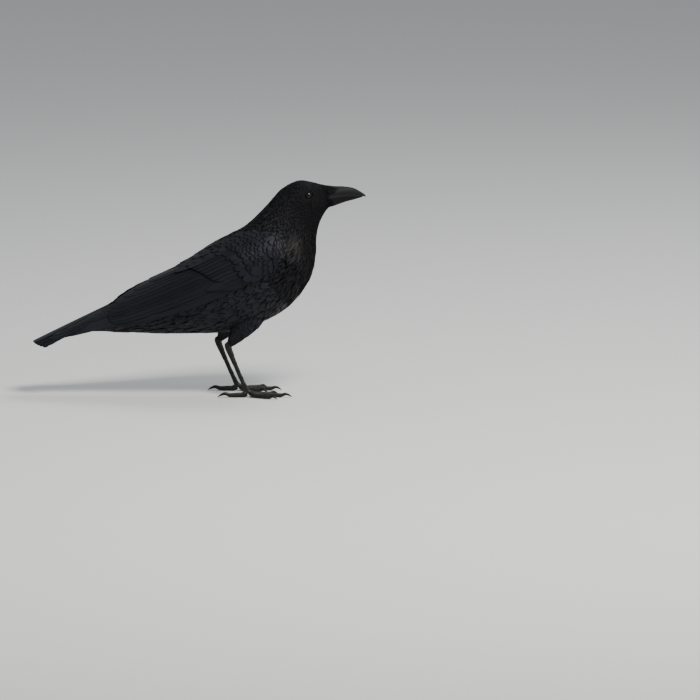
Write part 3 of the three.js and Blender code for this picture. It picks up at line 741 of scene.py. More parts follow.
def build_skin():
    around = np.linspace(0, 2 * math.pi, 64, endpoint=False)
    m = np.linspace(0.05, 10.4, 110)
    mm, aa = np.meshgrid(m, around, indexing="ij")
    solids = [loft(body(mm, aa, -skin_depth(mm)))]
    for side in (1, -1):
        # the arm inside the folded wing: a slab under its coverts
        n, k = np.linspace(0.3, 4.2, 40), np.linspace(0, 2 * math.pi, 36, endpoint=False)
        nn, kk = np.meshgrid(n, k, indexing="ij")
        taper = np.sqrt(np.clip(np.minimum((nn - 0.25) / 0.7, (4.25 - nn) / 1.2), 0, 1))
        v = 0.5 + 0.40 * np.sin(kk) * taper
        deep = np.interp(nn, [0, 1, 2, 3, 4, 5], [8, 13, 15, 13, 9, 5])
        h = np.where(np.cos(kk) > 0, -6.4, -6.4 + np.cos(kk) * (deep - 4.2) * (0.3 + 0.7 * taper))
        solids.append(loft(wing(nn, v, h) * [1, side, 1]))
    for name in ("left", "right"):
        lines, side = foot_lines(name)
        points, radii = lines["thigh"]
        solids.append(loft(tube_rings(points, np.array(radii) - [3.5, 3.2, 2.2, 0.9], 40, 40, 0.8)))
    skin = remeshed(mesh_from("skin", joined(solids)), 1.7, 6)
    for name in ("left", "right"):
        lines, side = foot_lines(name)
        parts = []

        def tarsus(u, a):  # a ridge behind, a flat in front
            return 1 + 0.10 * np.cos(a) ** 9 * (np.cos(a) > 0) - 0.06 * (np.cos(a) < -0.3) + 0 * u

        points, radii = lines["shank"]
        above = [[points[0][0] + 8, points[0][1], points[0][2] + 10]]
        parts.append(loft(tube_rings(above + points, np.array([3.6] + radii) - 0.25, 120, 40, 0.82, tarsus)))
        for toe, (_, length, rr, _, _, count) in TOES.items():
            points, radii = lines[toe]
            under = 0.0 if toe == "hallux" else math.pi

            def pads(u, a, under=under, count=3 if toe in ("inner", "hallux") else 4):  # swollen joints underneath
                below = np.cos(a - under) < 0
                return 1 + 0.07 * np.sin(u * math.pi * count * 2 + 1.2) * np.where(below, 1.0, 0.35)

            rings = tube_rings(points, np.array(radii) - 0.2, 90, 36, 0.92, pads)
            rings[..., 2] = np.maximum(rings[..., 2], 0.0)
            parts.append(loft(rings))
        leg = remeshed(mesh_from("leg", joined(parts)), 0.5, 3)
        co = np.empty(len(leg.data.vertices) * 3, np.float32)
        leg.data.vertices.foreach_get("co", co)
        co = co.reshape(-1, 3)
        co[:, 2] = np.maximum(co[:, 2], 0.0)
        leg.data.vertices.foreach_set("co", co.ravel())
        skin = united(skin, leg)
    for side in (1, -1):
        skin = united(skin, mesh_from("lid", lid(side)))
    skin.data.polygons.foreach_set("use_smooth", [True] * len(skin.data.polygons))
    skin.data.materials.clear()
    skin.data.materials.append(SKIN)
    skin.data.update()
    return keep(skin, ["head", "neck", "trunk"] + [f"{n}_{s}" for s in ("left", "right") for n in ["thigh", "shank"] + [f"toe_{t}" for t in TOES]])


def eye_axes(side):
    """Unit vectors of the eye: the way it looks, forward across it, and up across it."""
    look = unit(np.array([0.20, 1.0, 0.04]))
    fore = unit(np.array([1.0, 0, 0]) - look * look[0])
    up = np.cross(fore, look)
    up = up if up[2] > 0 else -up
    flip = np.array([1, side, 1])
    return look * flip, fore * flip, up * flip


def lid(side):
    """Upper and lower lid in one ring: a thin cup on the eyeball with an almost round opening."""
    look, fore, up = eye_axes(side)
    centre = EYE_AT * [1, side, 1]
    k = np.linspace(0, 2 * math.pi, 72, endpoint=False)
    opening = np.radians(np.where(np.sin(k) > 0, 45.5 - 3.5 * np.sin(k) ** 2, 46.5 - 2.0 * np.sin(k) ** 2))
    opening = opening + np.radians(2.6) * np.clip(np.cos(k), 0, 1) ** 6 + np.radians(3.2) * np.clip(-np.cos(k), 0, 1) ** 6
    rings = []
    # inside of the cup, round the rim, then over the outside
    profile = [(1.75, 6.02), (0.6, 6.02), (0.25, 6.02), (0.06, 6.04), (0.0, 6.16), (0.0, 6.40), (0.035, 6.62), (0.12, 6.74), (0.3, 6.70), (0.6, 6.62), (1.1, 6.6), (1.75, 6.5)]
    for add, radius in profile:
        ang = opening + add * np.minimum(1.0, (1.75 - opening) / 1.0)
        wrinkle = 1 + (0.010 * np.sin(k * 9 + 2) + 0.006 * np.sin(k * 23 + 1)) * (radius > 6.5)
        d = look * np.cos(ang)[:, None] + (fore * np.cos(k)[:, None] + up * np.sin(k)[:, None]) * np.sin(ang)[:, None]
        rings.append(centre + d * (radius * wrinkle)[:, None])
    rings = np.array(rings)
    return loft(rings, centres=[centre - look * 1.0, centre - look * 1.4])


def eyeball(side):
    look, fore, up = eye_axes(side)
    centre = EYE_AT * [1, side, 1]
    rows, cols = 40, 56
    th = np.linspace(0, math.pi, rows + 1)
    k = np.linspace(0, 2 * math.pi, cols, endpoint=False)
    bulge = EYE_RADIUS + 0.22 * np.exp(-((th / 0.62) ** 4))  # the cornea stands a little proud
    rings = centre + (look * np.cos(th)[:, None, None] + (fore * np.cos(k)[None, :, None] + up * np.sin(k)[None, :, None]) * np.sin(th)[:, None, None]) * bulge[:, None, None]
    v, f = loft(rings[1:-1], centres=[rings[0, 0], rings[-1, 0]])
    o = mesh_from("eye_ball_left" if side > 0 else "eye_ball_right", (v, f))
    ang = np.concatenate([np.repeat(th[1:-1], cols), [0, math.pi]])
    tone = o.data.attributes.new("tone", "FLOAT_COLOR", "POINT")
    value = np.sin(np.minimum(ang, math.pi / 2))
    tone.data.foreach_set("color", np.stack([value, value, value, np.ones_like(value)], 1).astype(np.float32).ravel())
    o.data.polygons.foreach_set("use_smooth", [True] * len(o.data.polygons))
    o.data.materials.append(EYE)
    return keep(o, ["eye_left" if side > 0 else "eye_right"])


# ---------------------------------------------------------------- bill
def bill_tables(upper):
    tip = BILL_UPPER_TIP if upper else BILL_LOWER_TIP
    x = list(BILL[:, 0]) + [tip[0]]
    high = list(BILL[:, 1] if upper else BILL[:, 2] - 0.2) + [tip[1] + 0.7]
    low = list(BILL[:, 2] - 0.05 if upper else BILL[:, 3]) + [tip[1] - 0.6]
    half = list(BILL[:, 4] * (1 if upper else 0.9)) + [0.6]
    return np.array([x, high, low, half]).T


BILL_TABLES = {True: bill_tables(True), False: bill_tables(False)}


def bill(u, a, h=0.0, upper=True):
    """A point of one half of the bill: u from its base to its tip, a round it (0 on top), h out from it."""
    r = spline(BILL_TABLES[upper], u)
    x, high, low, half = r[..., 0], r[..., 1], r[..., 2], np.maximum(r[..., 3], 0.3)
    deep = high - low
    c, s = np.cos(a), np.sin(a)
    ridge = c if upper else -c
    shut = -0.06 if upper else 0.5  # the lower half is crowned inside the upper one, and shuts the gape
    z = np.where(ridge > 0, (deep - 0.1) * np.abs(ridge) ** 0.9, (-0.06 if upper else -shut) * np.abs(ridge) ** 0.7)
    narrow = np.where(ridge > 0, np.abs(s) ** 0.86, np.abs(s) ** 0.55)
    mid = low + 0.1 if upper else high - 0.1
    y = np.sign(s) * narrow * half
    zz = z * (1 if upper else -1)
    # both halves round off to a blunt point
    end = np.sqrt(np.clip(1 - np.clip((u - 0.95) / 0.05, 0, 1) ** 2, 0, 1))
    y, zz = y * end, zz * end
    drop = 0.55 * (1 - end) if upper else -0.2 * (1 - end)
    mid = mid - drop
    k = np.maximum(np.hypot(y, zz), 1e-6)
    return np.stack([x, y * (1 + h / k), mid + zz * (1 + h / k)], -1)


def build_bill(upper):
    rows, around = 110, 72
    u = np.linspace(0, 1, rows + 1)
    u = 1 - (1 - u) ** 1.25
    a = np.linspace(0, 2 * math.pi, around, endpoint=False)
    uu, aa = np.meshgrid(u, a, indexing="ij")
    c = np.cos(aa) if upper else -np.cos(aa)
    # a crease along the side above the cutting edge, faint growth rings, and a ridge kept sharp
    groove = -0.28 * np.exp(-(((c - 0.16) / 0.09) ** 2)) * smooth((uu - 0.1) / 0.2) * (1 - smooth((uu - 0.75) / 0.2))
    edge = 0.22 * np.exp(-(((c + 0.02) / 0.10) ** 2)) * (1 - smooth((uu - 0.85) / 0.15))
    rings_ = 0.035 * np.sin(uu * 95 + 2.0 * np.sin(uu * 31)) * np.clip(c, 0, 1)
    p = bill(uu, aa, (groove + edge + rings_) * (1 - smooth((uu - 0.93) / 0.07)), upper)
    if upper:
        # the tip hooks slightly over the lower one
        p[..., 2] -= 0.9 * smooth((uu - 0.9) / 0.1) * np.clip(-np.cos(aa), 0, 1) * 0.6
    tip = p[-1].mean(0)
    p[-1] = tip + (p[-1] - tip) * 0.6
    name = "bill_upper_horn" if upper else "bill_lower_horn"
    v, f = loft(p)
    o = mesh_from(name, (v, f))
    wear_and_sheen = np.zeros(len(v))
    along = np.concatenate([np.repeat(u, around), [0, 1]])
    cut = np.concatenate([c.ravel(), [0, 0]])
    wear_and_sheen = 0.7 * np.exp(-(((cut + 0.02) / 0.12) ** 2)) + 0.12 * smooth((along - 0.88) / 0.12) + 0.12 * smooth((cut - 0.93) / 0.07)
    tone = o.data.attributes.new("tone", "FLOAT_COLOR", "POINT")
    tone.data.foreach_set("color", np.stack([wear_and_sheen * 0 + 0.5, np.clip(wear_and_sheen, 0, 1), along, wear_and_sheen * 0 + 1], 1).astype(np.float32).ravel())
    o.data.polygons.foreach_set("use_smooth", [True] * len(o.data.polygons))
    # painted shade: the lower half takes the darker copy of the horn
    o.data.materials.append(HORN if upper else HORN_LOWER_SHADED)
    return keep(o, ["bill_upper" if upper else "bill_lower"])


# ---------------------------------------------------------------- scutes and claws
def scute_grid(parts, points, radii, flat, start, stop, centre, spread_, lift, g, rows=5, columns=12, tone=(0.5, 0.3, 0)):
    """One horny plate: it wraps round a tube from `start` to `stop` along it, and stands off it more at its far edge."""
    s, t = np.linspace(0, 1, rows + 1), np.linspace(-1, 1, columns + 1)
    u = start + (stop - start) * s[:, None] * (1 - 0.10 * np.abs(t[None, :]) ** 3) + 0 * t[None, :]
    a = centre + spread_ * t[None, :] + 0 * u
    p, d, side, up = tube_frame(points, u.ravel())
    r = spline(radii, u.ravel())[:, 0]
    h = (lift * (0.1 + 0.9 * s**1.5))[:, None] * (1 - 0.75 * np.abs(t[None, :]) ** 4)
    out = side * np.sin(a.ravel())[:, None] * flat + up * np.cos(a.ravel())[:, None]
    q = p + out * (r + h.ravel() - 0.12)[:, None]
    n = unit(out)
    shape = (1, rows + 1, columns + 1, 3)
    across = (t[None, :] * spread_ * r.reshape(rows + 1, -1)).reshape(shape[:3])
    along = (np.linalg.norm(q.reshape(shape) - q.reshape(shape)[:, :1], axis=-1))
    # which way the grid winds, from its own points
    grid = q.reshape(rows + 1, columns + 1, 3)
    wind = np.dot(np.cross(grid[0, -1] - grid[0, 0], grid[-1, columns // 2] - grid[0, columns // 2]), n[columns // 2])
    tone_row = np.array([[g.random(), tone[1] + 0.3 * g.random(), 0]])
    uv = np.array([[0.5 + 0.0 * g.random(), 0.5]])
    return q.reshape(shape), n.reshape(shape), across, along, tone_row, (1 if wind > 0 else -1)


def build_scutes(name):
    lines, side = foot_lines(name)
    parts = Parts()
    g = np.random.default_rng(31 if side > 0 else 32)
    jobs = []
    points, radii = lines["shank"]
    ref = math.pi  # the front of the shank
    cuts = np.linspace(0.09, 0.985, 11)
    for i in range(10):
        jobs.append((points, radii, 0.82, cuts[i] - 0.004, cuts[i + 1] + 0.016, ref + 0.05 * g.normal(), 1.32, 0.36, 6, 14))
    for i in range(5):  # long plates behind
        jobs.append((points, radii, 0.82, 0.12 + 0.165 * i, 0.12 + 0.165 * (i + 1) + 0.012, 0.02, 0.95, 0.26, 8, 10))
    for toe, (_, length, rr, _, _, count) in TOES.items():
        points, radii = lines[toe]
        p, d, side_, up = tube_frame(points, np.array([0.5]))
        top = 0.0 if up[0, 2] > 0 else math.pi
        cuts = np.linspace(0.10, 0.985, count + 1)
        for i in range(count):
            jobs.append((points, radii, 0.92, cuts[i] - 0.004, cuts[i + 1] + 0.022, top, 1.18, 0.34, 5, 12))
    for i, (points, radii, flat, a, b, centre, wide, lift, rows, columns) in enumerate(jobs):
        q, n, across, along, tone, sign = scute_grid(parts, points, radii, flat, a, min(b, 1.0), centre, wide, lift, g, rows, columns)
        q[..., 2] = np.maximum(q[..., 2], 0.02)
        uv = np.array([[0.04 + 0.92 * ((i % 9) / 9), 0.04 + 0.92 * ((i // 9) / 9)]])
        pack_vanes(parts, q, n, 0.22, across, along, uv, tone, sign, patch=0.05)
    return piece(f"leg_scutes_{name}", parts, SCUTE)


def build_claws(name):
    lines, side = foot_lines(name)
    solids, wear_and_sheen = [], []
    for toe in TOES:
        points, radii = lines[toe + "_claw"]
        up_first = tube_frame(points, np.array([0.5]))[3][0, 2] > 0

        def keel(u, a, up_first=up_first):  # deeper than wide, with a blunt keel below
            below = np.cos(a) < 0 if up_first else np.cos(a) > 0
            return 1 + np.where(below, 0.07 * np.abs(np.cos(a)) ** 3, 0.0) + 0.012 * np.sin(u * 60)

        rings = tube_rings(points, radii, 44, 24, 0.74, keel)
        rings[..., 2] = np.maximum(rings[..., 2], 0.02)
        v, f = loft(rings)
        solids.append((v, f))
        wear_and_sheen.append(np.concatenate([np.repeat(smooth((np.linspace(0, 1, 45) - 0.7) / 0.3), 24), [0, 1]]))
    o = mesh_from(f"claw_horn_{name}", joined(solids))
    w = np.concatenate(wear_and_sheen)
    tone = o.data.attributes.new("tone", "FLOAT_COLOR", "POINT")
    tone.data.foreach_set("color", np.stack([w * 0 + 0.5, w, w, w * 0 + 1], 1).astype(np.float32).ravel())
    o.data.polygons.foreach_set("use_smooth", [True] * len(o.data.polygons))
    o.data.materials.append(CLAW)
    return keep(o, [f"claw_{t}_{name}" for t in TOES])


# ---------------------------------------------------------------- small feathers of head, neck and trunk
# by station: distance between rows, distance along a row, half width, length (mm)
COAT = np.array([
    [1.05, 0.92, 0.66, 4.0],
    [1.25, 1.10, 0.84, 5.2],
    [1.60, 1.40, 1.10, 7.0],
    [2.30, 2.00, 1.60, 10.0],
    [3.30, 2.80, 2.35, 14.5],
    [4.60, 4.00, 3.60, 19.5],
    [6.20, 5.40, 5.4, 25.0],
    [7.0, 6.2, 6.5, 29.0],
    [7.0, 6.2, 6.4, 30.0],
    [6.8, 5.6, 5.6, 31.0],
    [7.0, 5.0, 5.2, 34.0],
    [7.0, 5.0, 5.0, 30.0],
])


def coat_at(m):
    return spline(COAT, np.asarray(m, float) / STATIONS)


def ring_rows(m0, m1, g, scale=1.0):
    """Roots in staggered rows round the body: stations, angles."""
    ms, angles = [], []
    m, odd = m0, False
    ring = np.linspace(-math.pi, math.pi, 361)
    while m < m1:
        pts = body(np.full_like(ring, m), ring)
        arc = np.concatenate([[0], np.cumsum(np.linalg.norm(np.diff(pts, axis=0), axis=1))])
        pitch = coat_at(m)[1] * scale
        count = max(8, int(round(arc[-1] / pitch)))
        at = (np.arange(count) + (0.5 if odd else 0.0)) / count * arc[-1]
        at = (at + g.normal(size=count) * 0.13 * pitch) % arc[-1]
        ms.append(np.full(count, m) + g.normal(size=count) * 0.02)
        angles.append(np.interp(at, arc, ring))
        lead = body(np.array([m, m + 0.01]), np.array([0.0, 0.0]))
        under = body(np.array([m, m + 0.01]), np.array([math.pi, math.pi]))
        per = 50 * (np.linalg.norm(lead[1] - lead[0]) + np.linalg.norm(under[1] - under[0]))
        m += coat_at(m)[0] * scale / per
        odd = not odd
    return np.concatenate(ms), np.concatenate(angles)


def under_wing(p, margin=7.0):
    """True for points of the trunk well inside the folded wing's outline."""
    n = np.linspace(0.25, 5.2, 100)
    low, up = wing(n, np.zeros_like(n)), wing(n, np.ones_like(n))
    order = np.argsort(low[:, 0])
    zl = np.interp(p[:, 0], low[order, 0], low[order, 2])
    zu = np.interp(p[:, 0], up[order, 0], up[order, 2])
    inside = (p[:, 2] > zl + margin) & (p[:, 2] < zu - margin) & (p[:, 0] < low[:, 0].max() - 8) & (p[:, 0] > low[:, 0].min())
    return inside & (np.abs(p[:, 1]) > 6)


def body_unwrap(m, a):
    return np.stack([0.02 + 0.96 * (a / (2 * math.pi) + 0.5), 0.02 + 0.96 * np.clip(m / (STATIONS + 0.5), 0, 1)], 1)


EYE_RIM = np.array([EYE_AT[0] + 1.15, EYE_AT[2] + 0.2])  # middle of the lids, seen from the side
RIM = 5.05  # where the feathers begin round it


def at_side(x, z):
    """Stations and angles of the left side's points that are seen at (x, z)."""
    m, a = np.meshgrid(np.linspace(-0.1, 3.0, 260), np.linspace(0.25, 2.5, 240), indexing="ij")
    p = body(m, a)
    grid = np.stack([p[..., 0].ravel(), p[..., 2].ravel()], 1)
    best = [int(np.argmin(((grid - [xx, zz]) ** 2).sum(1))) for xx, zz in zip(x, z)]
    return m.ravel()[best], a.ravel()[best]


def eye_ring(parts):
    """Tiny feathers that start at the lids' edge and lean back over the bare rim."""
    g = np.random.default_rng(41)
    for row, (radius, count, length, half, root) in enumerate([(4.95, 44, 2.5, 0.50, -0.75), (5.75, 48, 2.9, 0.56, -0.9), (6.7, 52, 3.4, 0.62, -1.1), (7.8, 54, 3.9, 0.68, -1.3), (9.0, 66, 0.0, 0.72, 0.0)]):
        k = np.linspace(0, 2 * math.pi, count, endpoint=False) + 0.05 * row
        m, a = at_side(EYE_RIM[0] + radius * np.cos(k), EYE_RIM[1] + radius * np.sin(k))
        p, pa, pb, _ = frames(body, m, a, 1)
        da, db = unit(pa), unit(pb)
        out = unit(np.stack([p[:, 0] - EYE_RIM[0], 0 * m, p[:, 2] - EYE_RIM[1]], 1))
        ra, rb = (out * da).sum(1), (out * db).sum(1)
        behind = ra > -0.42
        if row >= 2:  # ahead of the eye they point back at it and stop at the lids
            f = ra < -0.12 if row < 4 else (ra > -0.8) & (ra < -0.02)
            mf, af, turn = m[f], a[f], np.arctan2(-rb[f], -ra[f]) * 0.8 * smooth((-ra[f] - 0.25) / 0.55)
            mf, af, turn = np.concatenate([mf, mf]), np.concatenate([af, -af]), np.concatenate([turn, -turn])
            vanes(parts, body, mf, af, radius - 4.75, half, seed=430 + row, unwrap=body_unwrap(mf, af), yaw=turn, root=-0.8, tip=0.1 + 0.1 * (row - 2), hold=1.9,
                  cup=0.12, rounding=0.5, blunt=1.8, fray=0.12, rows=4, columns=4, narrow=0.6, thick=0.05, loose=0.03, layer=0.1)
        if row == 4:
            break
        yaw = np.arctan2(0.62 * rb, 0.62 * ra + 0.62) * smooth((ra + 0.42) / 0.7) + g.normal(size=count) * 0.06
        m, a, yaw = m[behind], a[behind], yaw[behind]
        m, a, yaw = np.concatenate([m, m]), np.concatenate([a, -a]), np.concatenate([yaw, -yaw])
        n = len(m)
        vanes(parts, body, m, a, length * (1 + 0.1 * g.normal(size=n)), half, seed=420 + row, unwrap=body_unwrap(m, a), yaw=yaw, root=root, tip=0.32 - 0.05 * row, hold=1.9,
              cup=0.12, rounding=0.5, blunt=1.8, fray=0.12, rows=4, columns=4, narrow=0.6, thick=0.05, loose=0.03, layer=0.1)


def build_body_coat():
    g = np.random.default_rng(5)
    m, a = ring_rows(-0.02, 9.9, g)
    p = body(m, a)
    keep_ = ~under_wing(p)
    dx, dz = p[:, 0] - EYE_RIM[0], p[:, 2] - EYE_RIM[1]
    far = np.hypot(dx, dz)
    near_eye = (np.abs(p[:, 1]) > 8) & (m < 3)
    keep_ &= ~(near_eye & (far < RIM))
    m, a, p, dx, dz, far, near_eye = (x[keep_] for x in (m, a, p, dx, dz, far, near_eye))
    dorsal, ventral = np.clip(np.cos(a), 0, 1), np.clip(-np.cos(a), 0, 1)
    t = coat_at(m)
    half, length = t[:, 2].copy(), t[:, 3].copy()
    length *= 1 + 0.10 * g.normal(size=len(m)).clip(-2, 2)
    half *= 1 + 0.10 * g.normal(size=len(m)).clip(-2, 2)
    yaw = g.normal(size=len(m)) * 0.08
    # feathers ahead of the eye end at the lids
    _, pa, pb, _ = frames(body, m, a, 1)
    da, db = unit(pa), unit(pb)
    toward = np.stack([-dx, np.zeros_like(dx), -dz], 1)
    ahead, off = (toward * da).sum(1), (toward * db).sum(1)
    front = near_eye & (ahead > 0) & (np.abs(off) < RIM - 0.1) & (ahead < 18)
    room = ahead - np.sqrt(np.clip((RIM - 0.1) ** 2 - off**2, 0, None)) + 0.25
    length = np.where(front, np.minimum(length, room), length)
    yaw = np.where((m < 3) & (ahead > 0), yaw - 0.24 * (off / 4.5) * np.exp(0.5 - 0.5 * (off / 4.5) ** 2) * smooth((20 - ahead) / 12) * smooth(ahead / 6) * smooth((np.abs(p[:, 1]) - 5) / 5), yaw)
    half = np.where(near_eye & (far < 9), half * 0.85, half)
    short = length < 1.3
    # hackles of the throat, loose belly
    throat = (m > 1.6) & (m < 5.4) & (ventral > 0.3)
    length = np.where(throat, length * 1.2, length)
    half = np.where(throat, half * 0.72, half)
    belly = (m > 6) & (m < 9.6) & (ventral > 0.3)
    length = np.where(belly, length * 1.12, length)
    end = body(m + 0.8 * length / np.linalg.norm(pa, axis=1), a)
    tip = 0.1 + 0.22 * g.normal(size=len(m)) * smooth((m - 1) / 5) + np.where(throat, 0.3, 0) + np.where(belly, 0.5, 0)
    tip = np.where(m > 8.8, tip + 0.6, tip)
    # the side of the breast lies over the bend of the wing
    over = np.exp(-(((end[:, 0] - 106) / 11) ** 2) - (((end[:, 2] - 178) / 15) ** 2)) * (np.abs(p[:, 1]) > 18)
    tip = tip + 5.5 * over
    root = -skin_depth(m) * 0.98
    # a dull, brownish, paler patch there, stronger on the right side: partly old worn feathers, partly a painted sunlit
    # sheen
    patch = np.exp(-(((end[:, 0] - 116) / 9) ** 2) - (((end[:, 2] - 186) / 14) ** 2)) * np.where(p[:, 1] < 0, 1.0, 0.45) * (np.abs(p[:, 1]) > 15)
    wear_and_sheen = np.clip(patch * 1.2 * (0.45 + 0.55 * (g.random(len(m)) > 0.35)) - 0.12, 0, 0.8) + 0.05 * g.random(len(m))
    uv = body_unwrap(m, a)

    def tract(parts, pick, seed, rows, columns, **kw):
        pick = pick & ~short
        vanes(parts, body, m[pick], a[pick], length[pick], half[pick], seed=seed, unwrap=uv[pick], yaw=yaw[pick], root=root[pick], tip=tip[pick], wear_and_sheen=wear_and_sheen[pick], rows=rows, columns=columns, **kw)

    for name, side in (("left", a >= 0), ("right", a < 0)):
        head = Parts()
        tract(head, side & (m < 1.2), 51, 4, 4, fray=0.16, loose=0.04, cup=0.14, thick=0.05, rounding=0.5, blunt=2.0, hold=2.6, layer=0.22)
        tract(head, side & (m >= 1.2) & (m < 2.7), 52, 4, 4, fray=0.16, loose=0.05, cup=0.13, thick=0.06, rounding=0.5, blunt=2.0, hold=2.8, layer=0.30)
        if name == "left":
            eye_ring(head)
        piece(f"feathers_head_{name}", head, HEAD)
    neck = Parts()
    back_ = ~throat_mask(m, a)
    tract(neck, (m >= 2.7) & (m < 5.4) & back_, 53, 6, 6, fray=0.10, loose=0.05, cup=0.065, thick=0.06, rounding=0.56, blunt=2.0, layer=0.42, roll=0.02)
    piece("feathers_neck", neck, HEAD)
    throat_ = Parts()
    tract(throat_, (m >= 2.7) & (m < 5.4) & ~back_, 54, 7, 4, fray=0.2, loose=0.16, cup=0.14, thick=0.08, rounding=0.75, blunt=1.6, layer=0.6, roll=0.05)
    piece("feathers_throat", throat_, HEAD)
    back = Parts()
    tract(back, (m >= 5.4) & (np.cos(a) > -0.1), 55, 9, 8, fray=0.10, loose=0.12, cup=0.06, thick=0.10, rounding=0.42, blunt=2.4, layer=0.7, wave=0.05, roll=0.03)
    piece("feathers_back", back, BODY_MAT)
    for name, side in (("left", a >= 0), ("right", a < 0)):
        under = Parts()
        tract(under, side & (m >= 5.4) & (np.cos(a) <= -0.1), 56, 9, 8, fray=0.22, loose=0.28, cup=0.07, thick=0.09, rounding=0.46, blunt=2.2, layer=0.8, wave=0.12, roll=0.05)
        piece(f"feathers_under_{name}", under, BODY_MAT)


def throat_mask(m, a):
    return np.cos(a) < -0.25


# ---------------------------------------------------------------- bristles over the bill
def build_bristles():
    parts = Parts()
    g = np.random.default_rng(9)

    def on_upper(u, a):
        return bill(u, a, 0.0, True)

    def on_lower(u, a):
        return bill(u, a, 0.0, False)

    # over the nostrils: they leave the ridge of the bill bare in front and reach farthest half way down its sides
    us, angles, lengths = [], [], []
    for i, x in enumerate(np.arange(-0.01, 0.215, 0.0098)):
        low, high = np.interp(x, [0.0, 0.12, 0.21], [0.0, 0.10, 0.42]), np.interp(x, [0.0, 0.08, 0.21], [1.56, 1.50, 1.12])
        count = int(round((high - low) / 0.095))
        a = low + (high - low) * (np.arange(count) + (0.75 if i % 2 else 0.25)) / count
        for sign in (1, -1):
            aa = sign * a + g.normal(size=count) * 0.02
            us.append(np.full(count, x) + g.normal(size=count) * 0.005)
            angles.append(aa)
            reach = 6.6 + 7.4 * np.exp(-(((np.abs(aa) - 0.78) / 0.36) ** 2))
            lengths.append(reach * (1 - 0.8 * x) * (1 + 0.13 * g.normal(size=count)))
    u, a, length = np.concatenate(us), np.concatenate(angles), np.concatenate(lengths)
    yaw = -0.10 * np.sign(a) * (np.abs(a) - 0.8) + g.normal(size=len(a)) * 0.06
    uv = np.stack([0.5 + a / 7, 0.1 + u], 1)
    fade = 1 - 0.75 * smooth((u - 0.08) / 0.13)
    vanes(parts, on_upper, u, a, length, 0.34 + 0.10 * g.random(len(a)), seed=91, unwrap=uv, sign=-1, yaw=yaw, root=0.1, tip=0.15 + (0.55 + 0.35 * g.random(len(a))) * fade, hold=1.5,
          cup=0.2, rounding=0.85, blunt=1.2, fray=0.2, rows=7, columns=2, narrow=0.85, thick=0.14, loose=0.14)
    # chin and the corners of the mouth: short ones that lean forward over the edge of the horn
    us, angles = [], []
    for i, x in enumerate(np.arange(0.04, 0.25, 0.0135)):
        count = 19
        us.append(np.full(count, x) + g.normal(size=count) * 0.006)
        angles.append(math.pi + np.linspace(-1.35, 1.35, count) + (0.05 if i % 2 else 0) + g.normal(size=count) * 0.03)
    u, a = np.concatenate(us), np.concatenate(angles)
    uv = np.stack([0.5 + (a - math.pi) / 7, 0.6 + u], 1)
    reach = 7.0 - 3.8 * np.abs(a - math.pi)
    vanes(parts, on_lower, u, a, np.maximum(reach, 2.2) * (1 + 0.12 * g.normal(size=len(a))), 0.42, seed=92, unwrap=uv, sign=-1, yaw=g.normal(size=len(a)) * 0.1, root=0.1, tip=0.4, hold=1.6,
          cup=0.2, rounding=0.8, blunt=1.3, fray=0.2, rows=5, columns=2, narrow=0.8, thick=0.12, loose=0.12)
    # the edge of the face: a fringe that closes over the base of the bill
    count = 110
    a = np.linspace(-math.pi, math.pi, count, endpoint=False)
    for row, (m0, long, drop) in enumerate([(-0.06, 4.4, 1.2), (0.06, 4.8, 1.0), (0.18, 5.0, 0.75), (0.30, 5.0, 0.5), (0.42, 4.8, 0.3)]):
        aa = a + 0.028 * row + g.normal(size=count) * 0.012
        under = np.clip(-np.cos(aa), 0, 1)
        vanes(parts, body, np.full(count, m0), aa, long * (1 + 0.1 * g.normal(size=count)), 0.62, seed=93 + row, unwrap=body_unwrap(np.full(count, max(m0, 0)), aa),
              sign=1, yaw=math.pi + g.normal(size=count) * 0.12, root=-1.3, tip=drop * (0.6 + 1.0 * under), hold=1.7, cup=0.14, rounding=0.6, blunt=1.7, fray=0.16, rows=5, columns=4, narrow=0.7, thick=0.06, loose=0.06)
    piece("bristles", parts, HEAD)


# ---------------------------------------------------------------- long feathers
COLUMNS = np.array([-1.0, -0.86, -0.68, -0.48, -0.28, -0.1, 0.0, 0.1, 0.28, 0.48, 0.68, 0.86, 1.0])


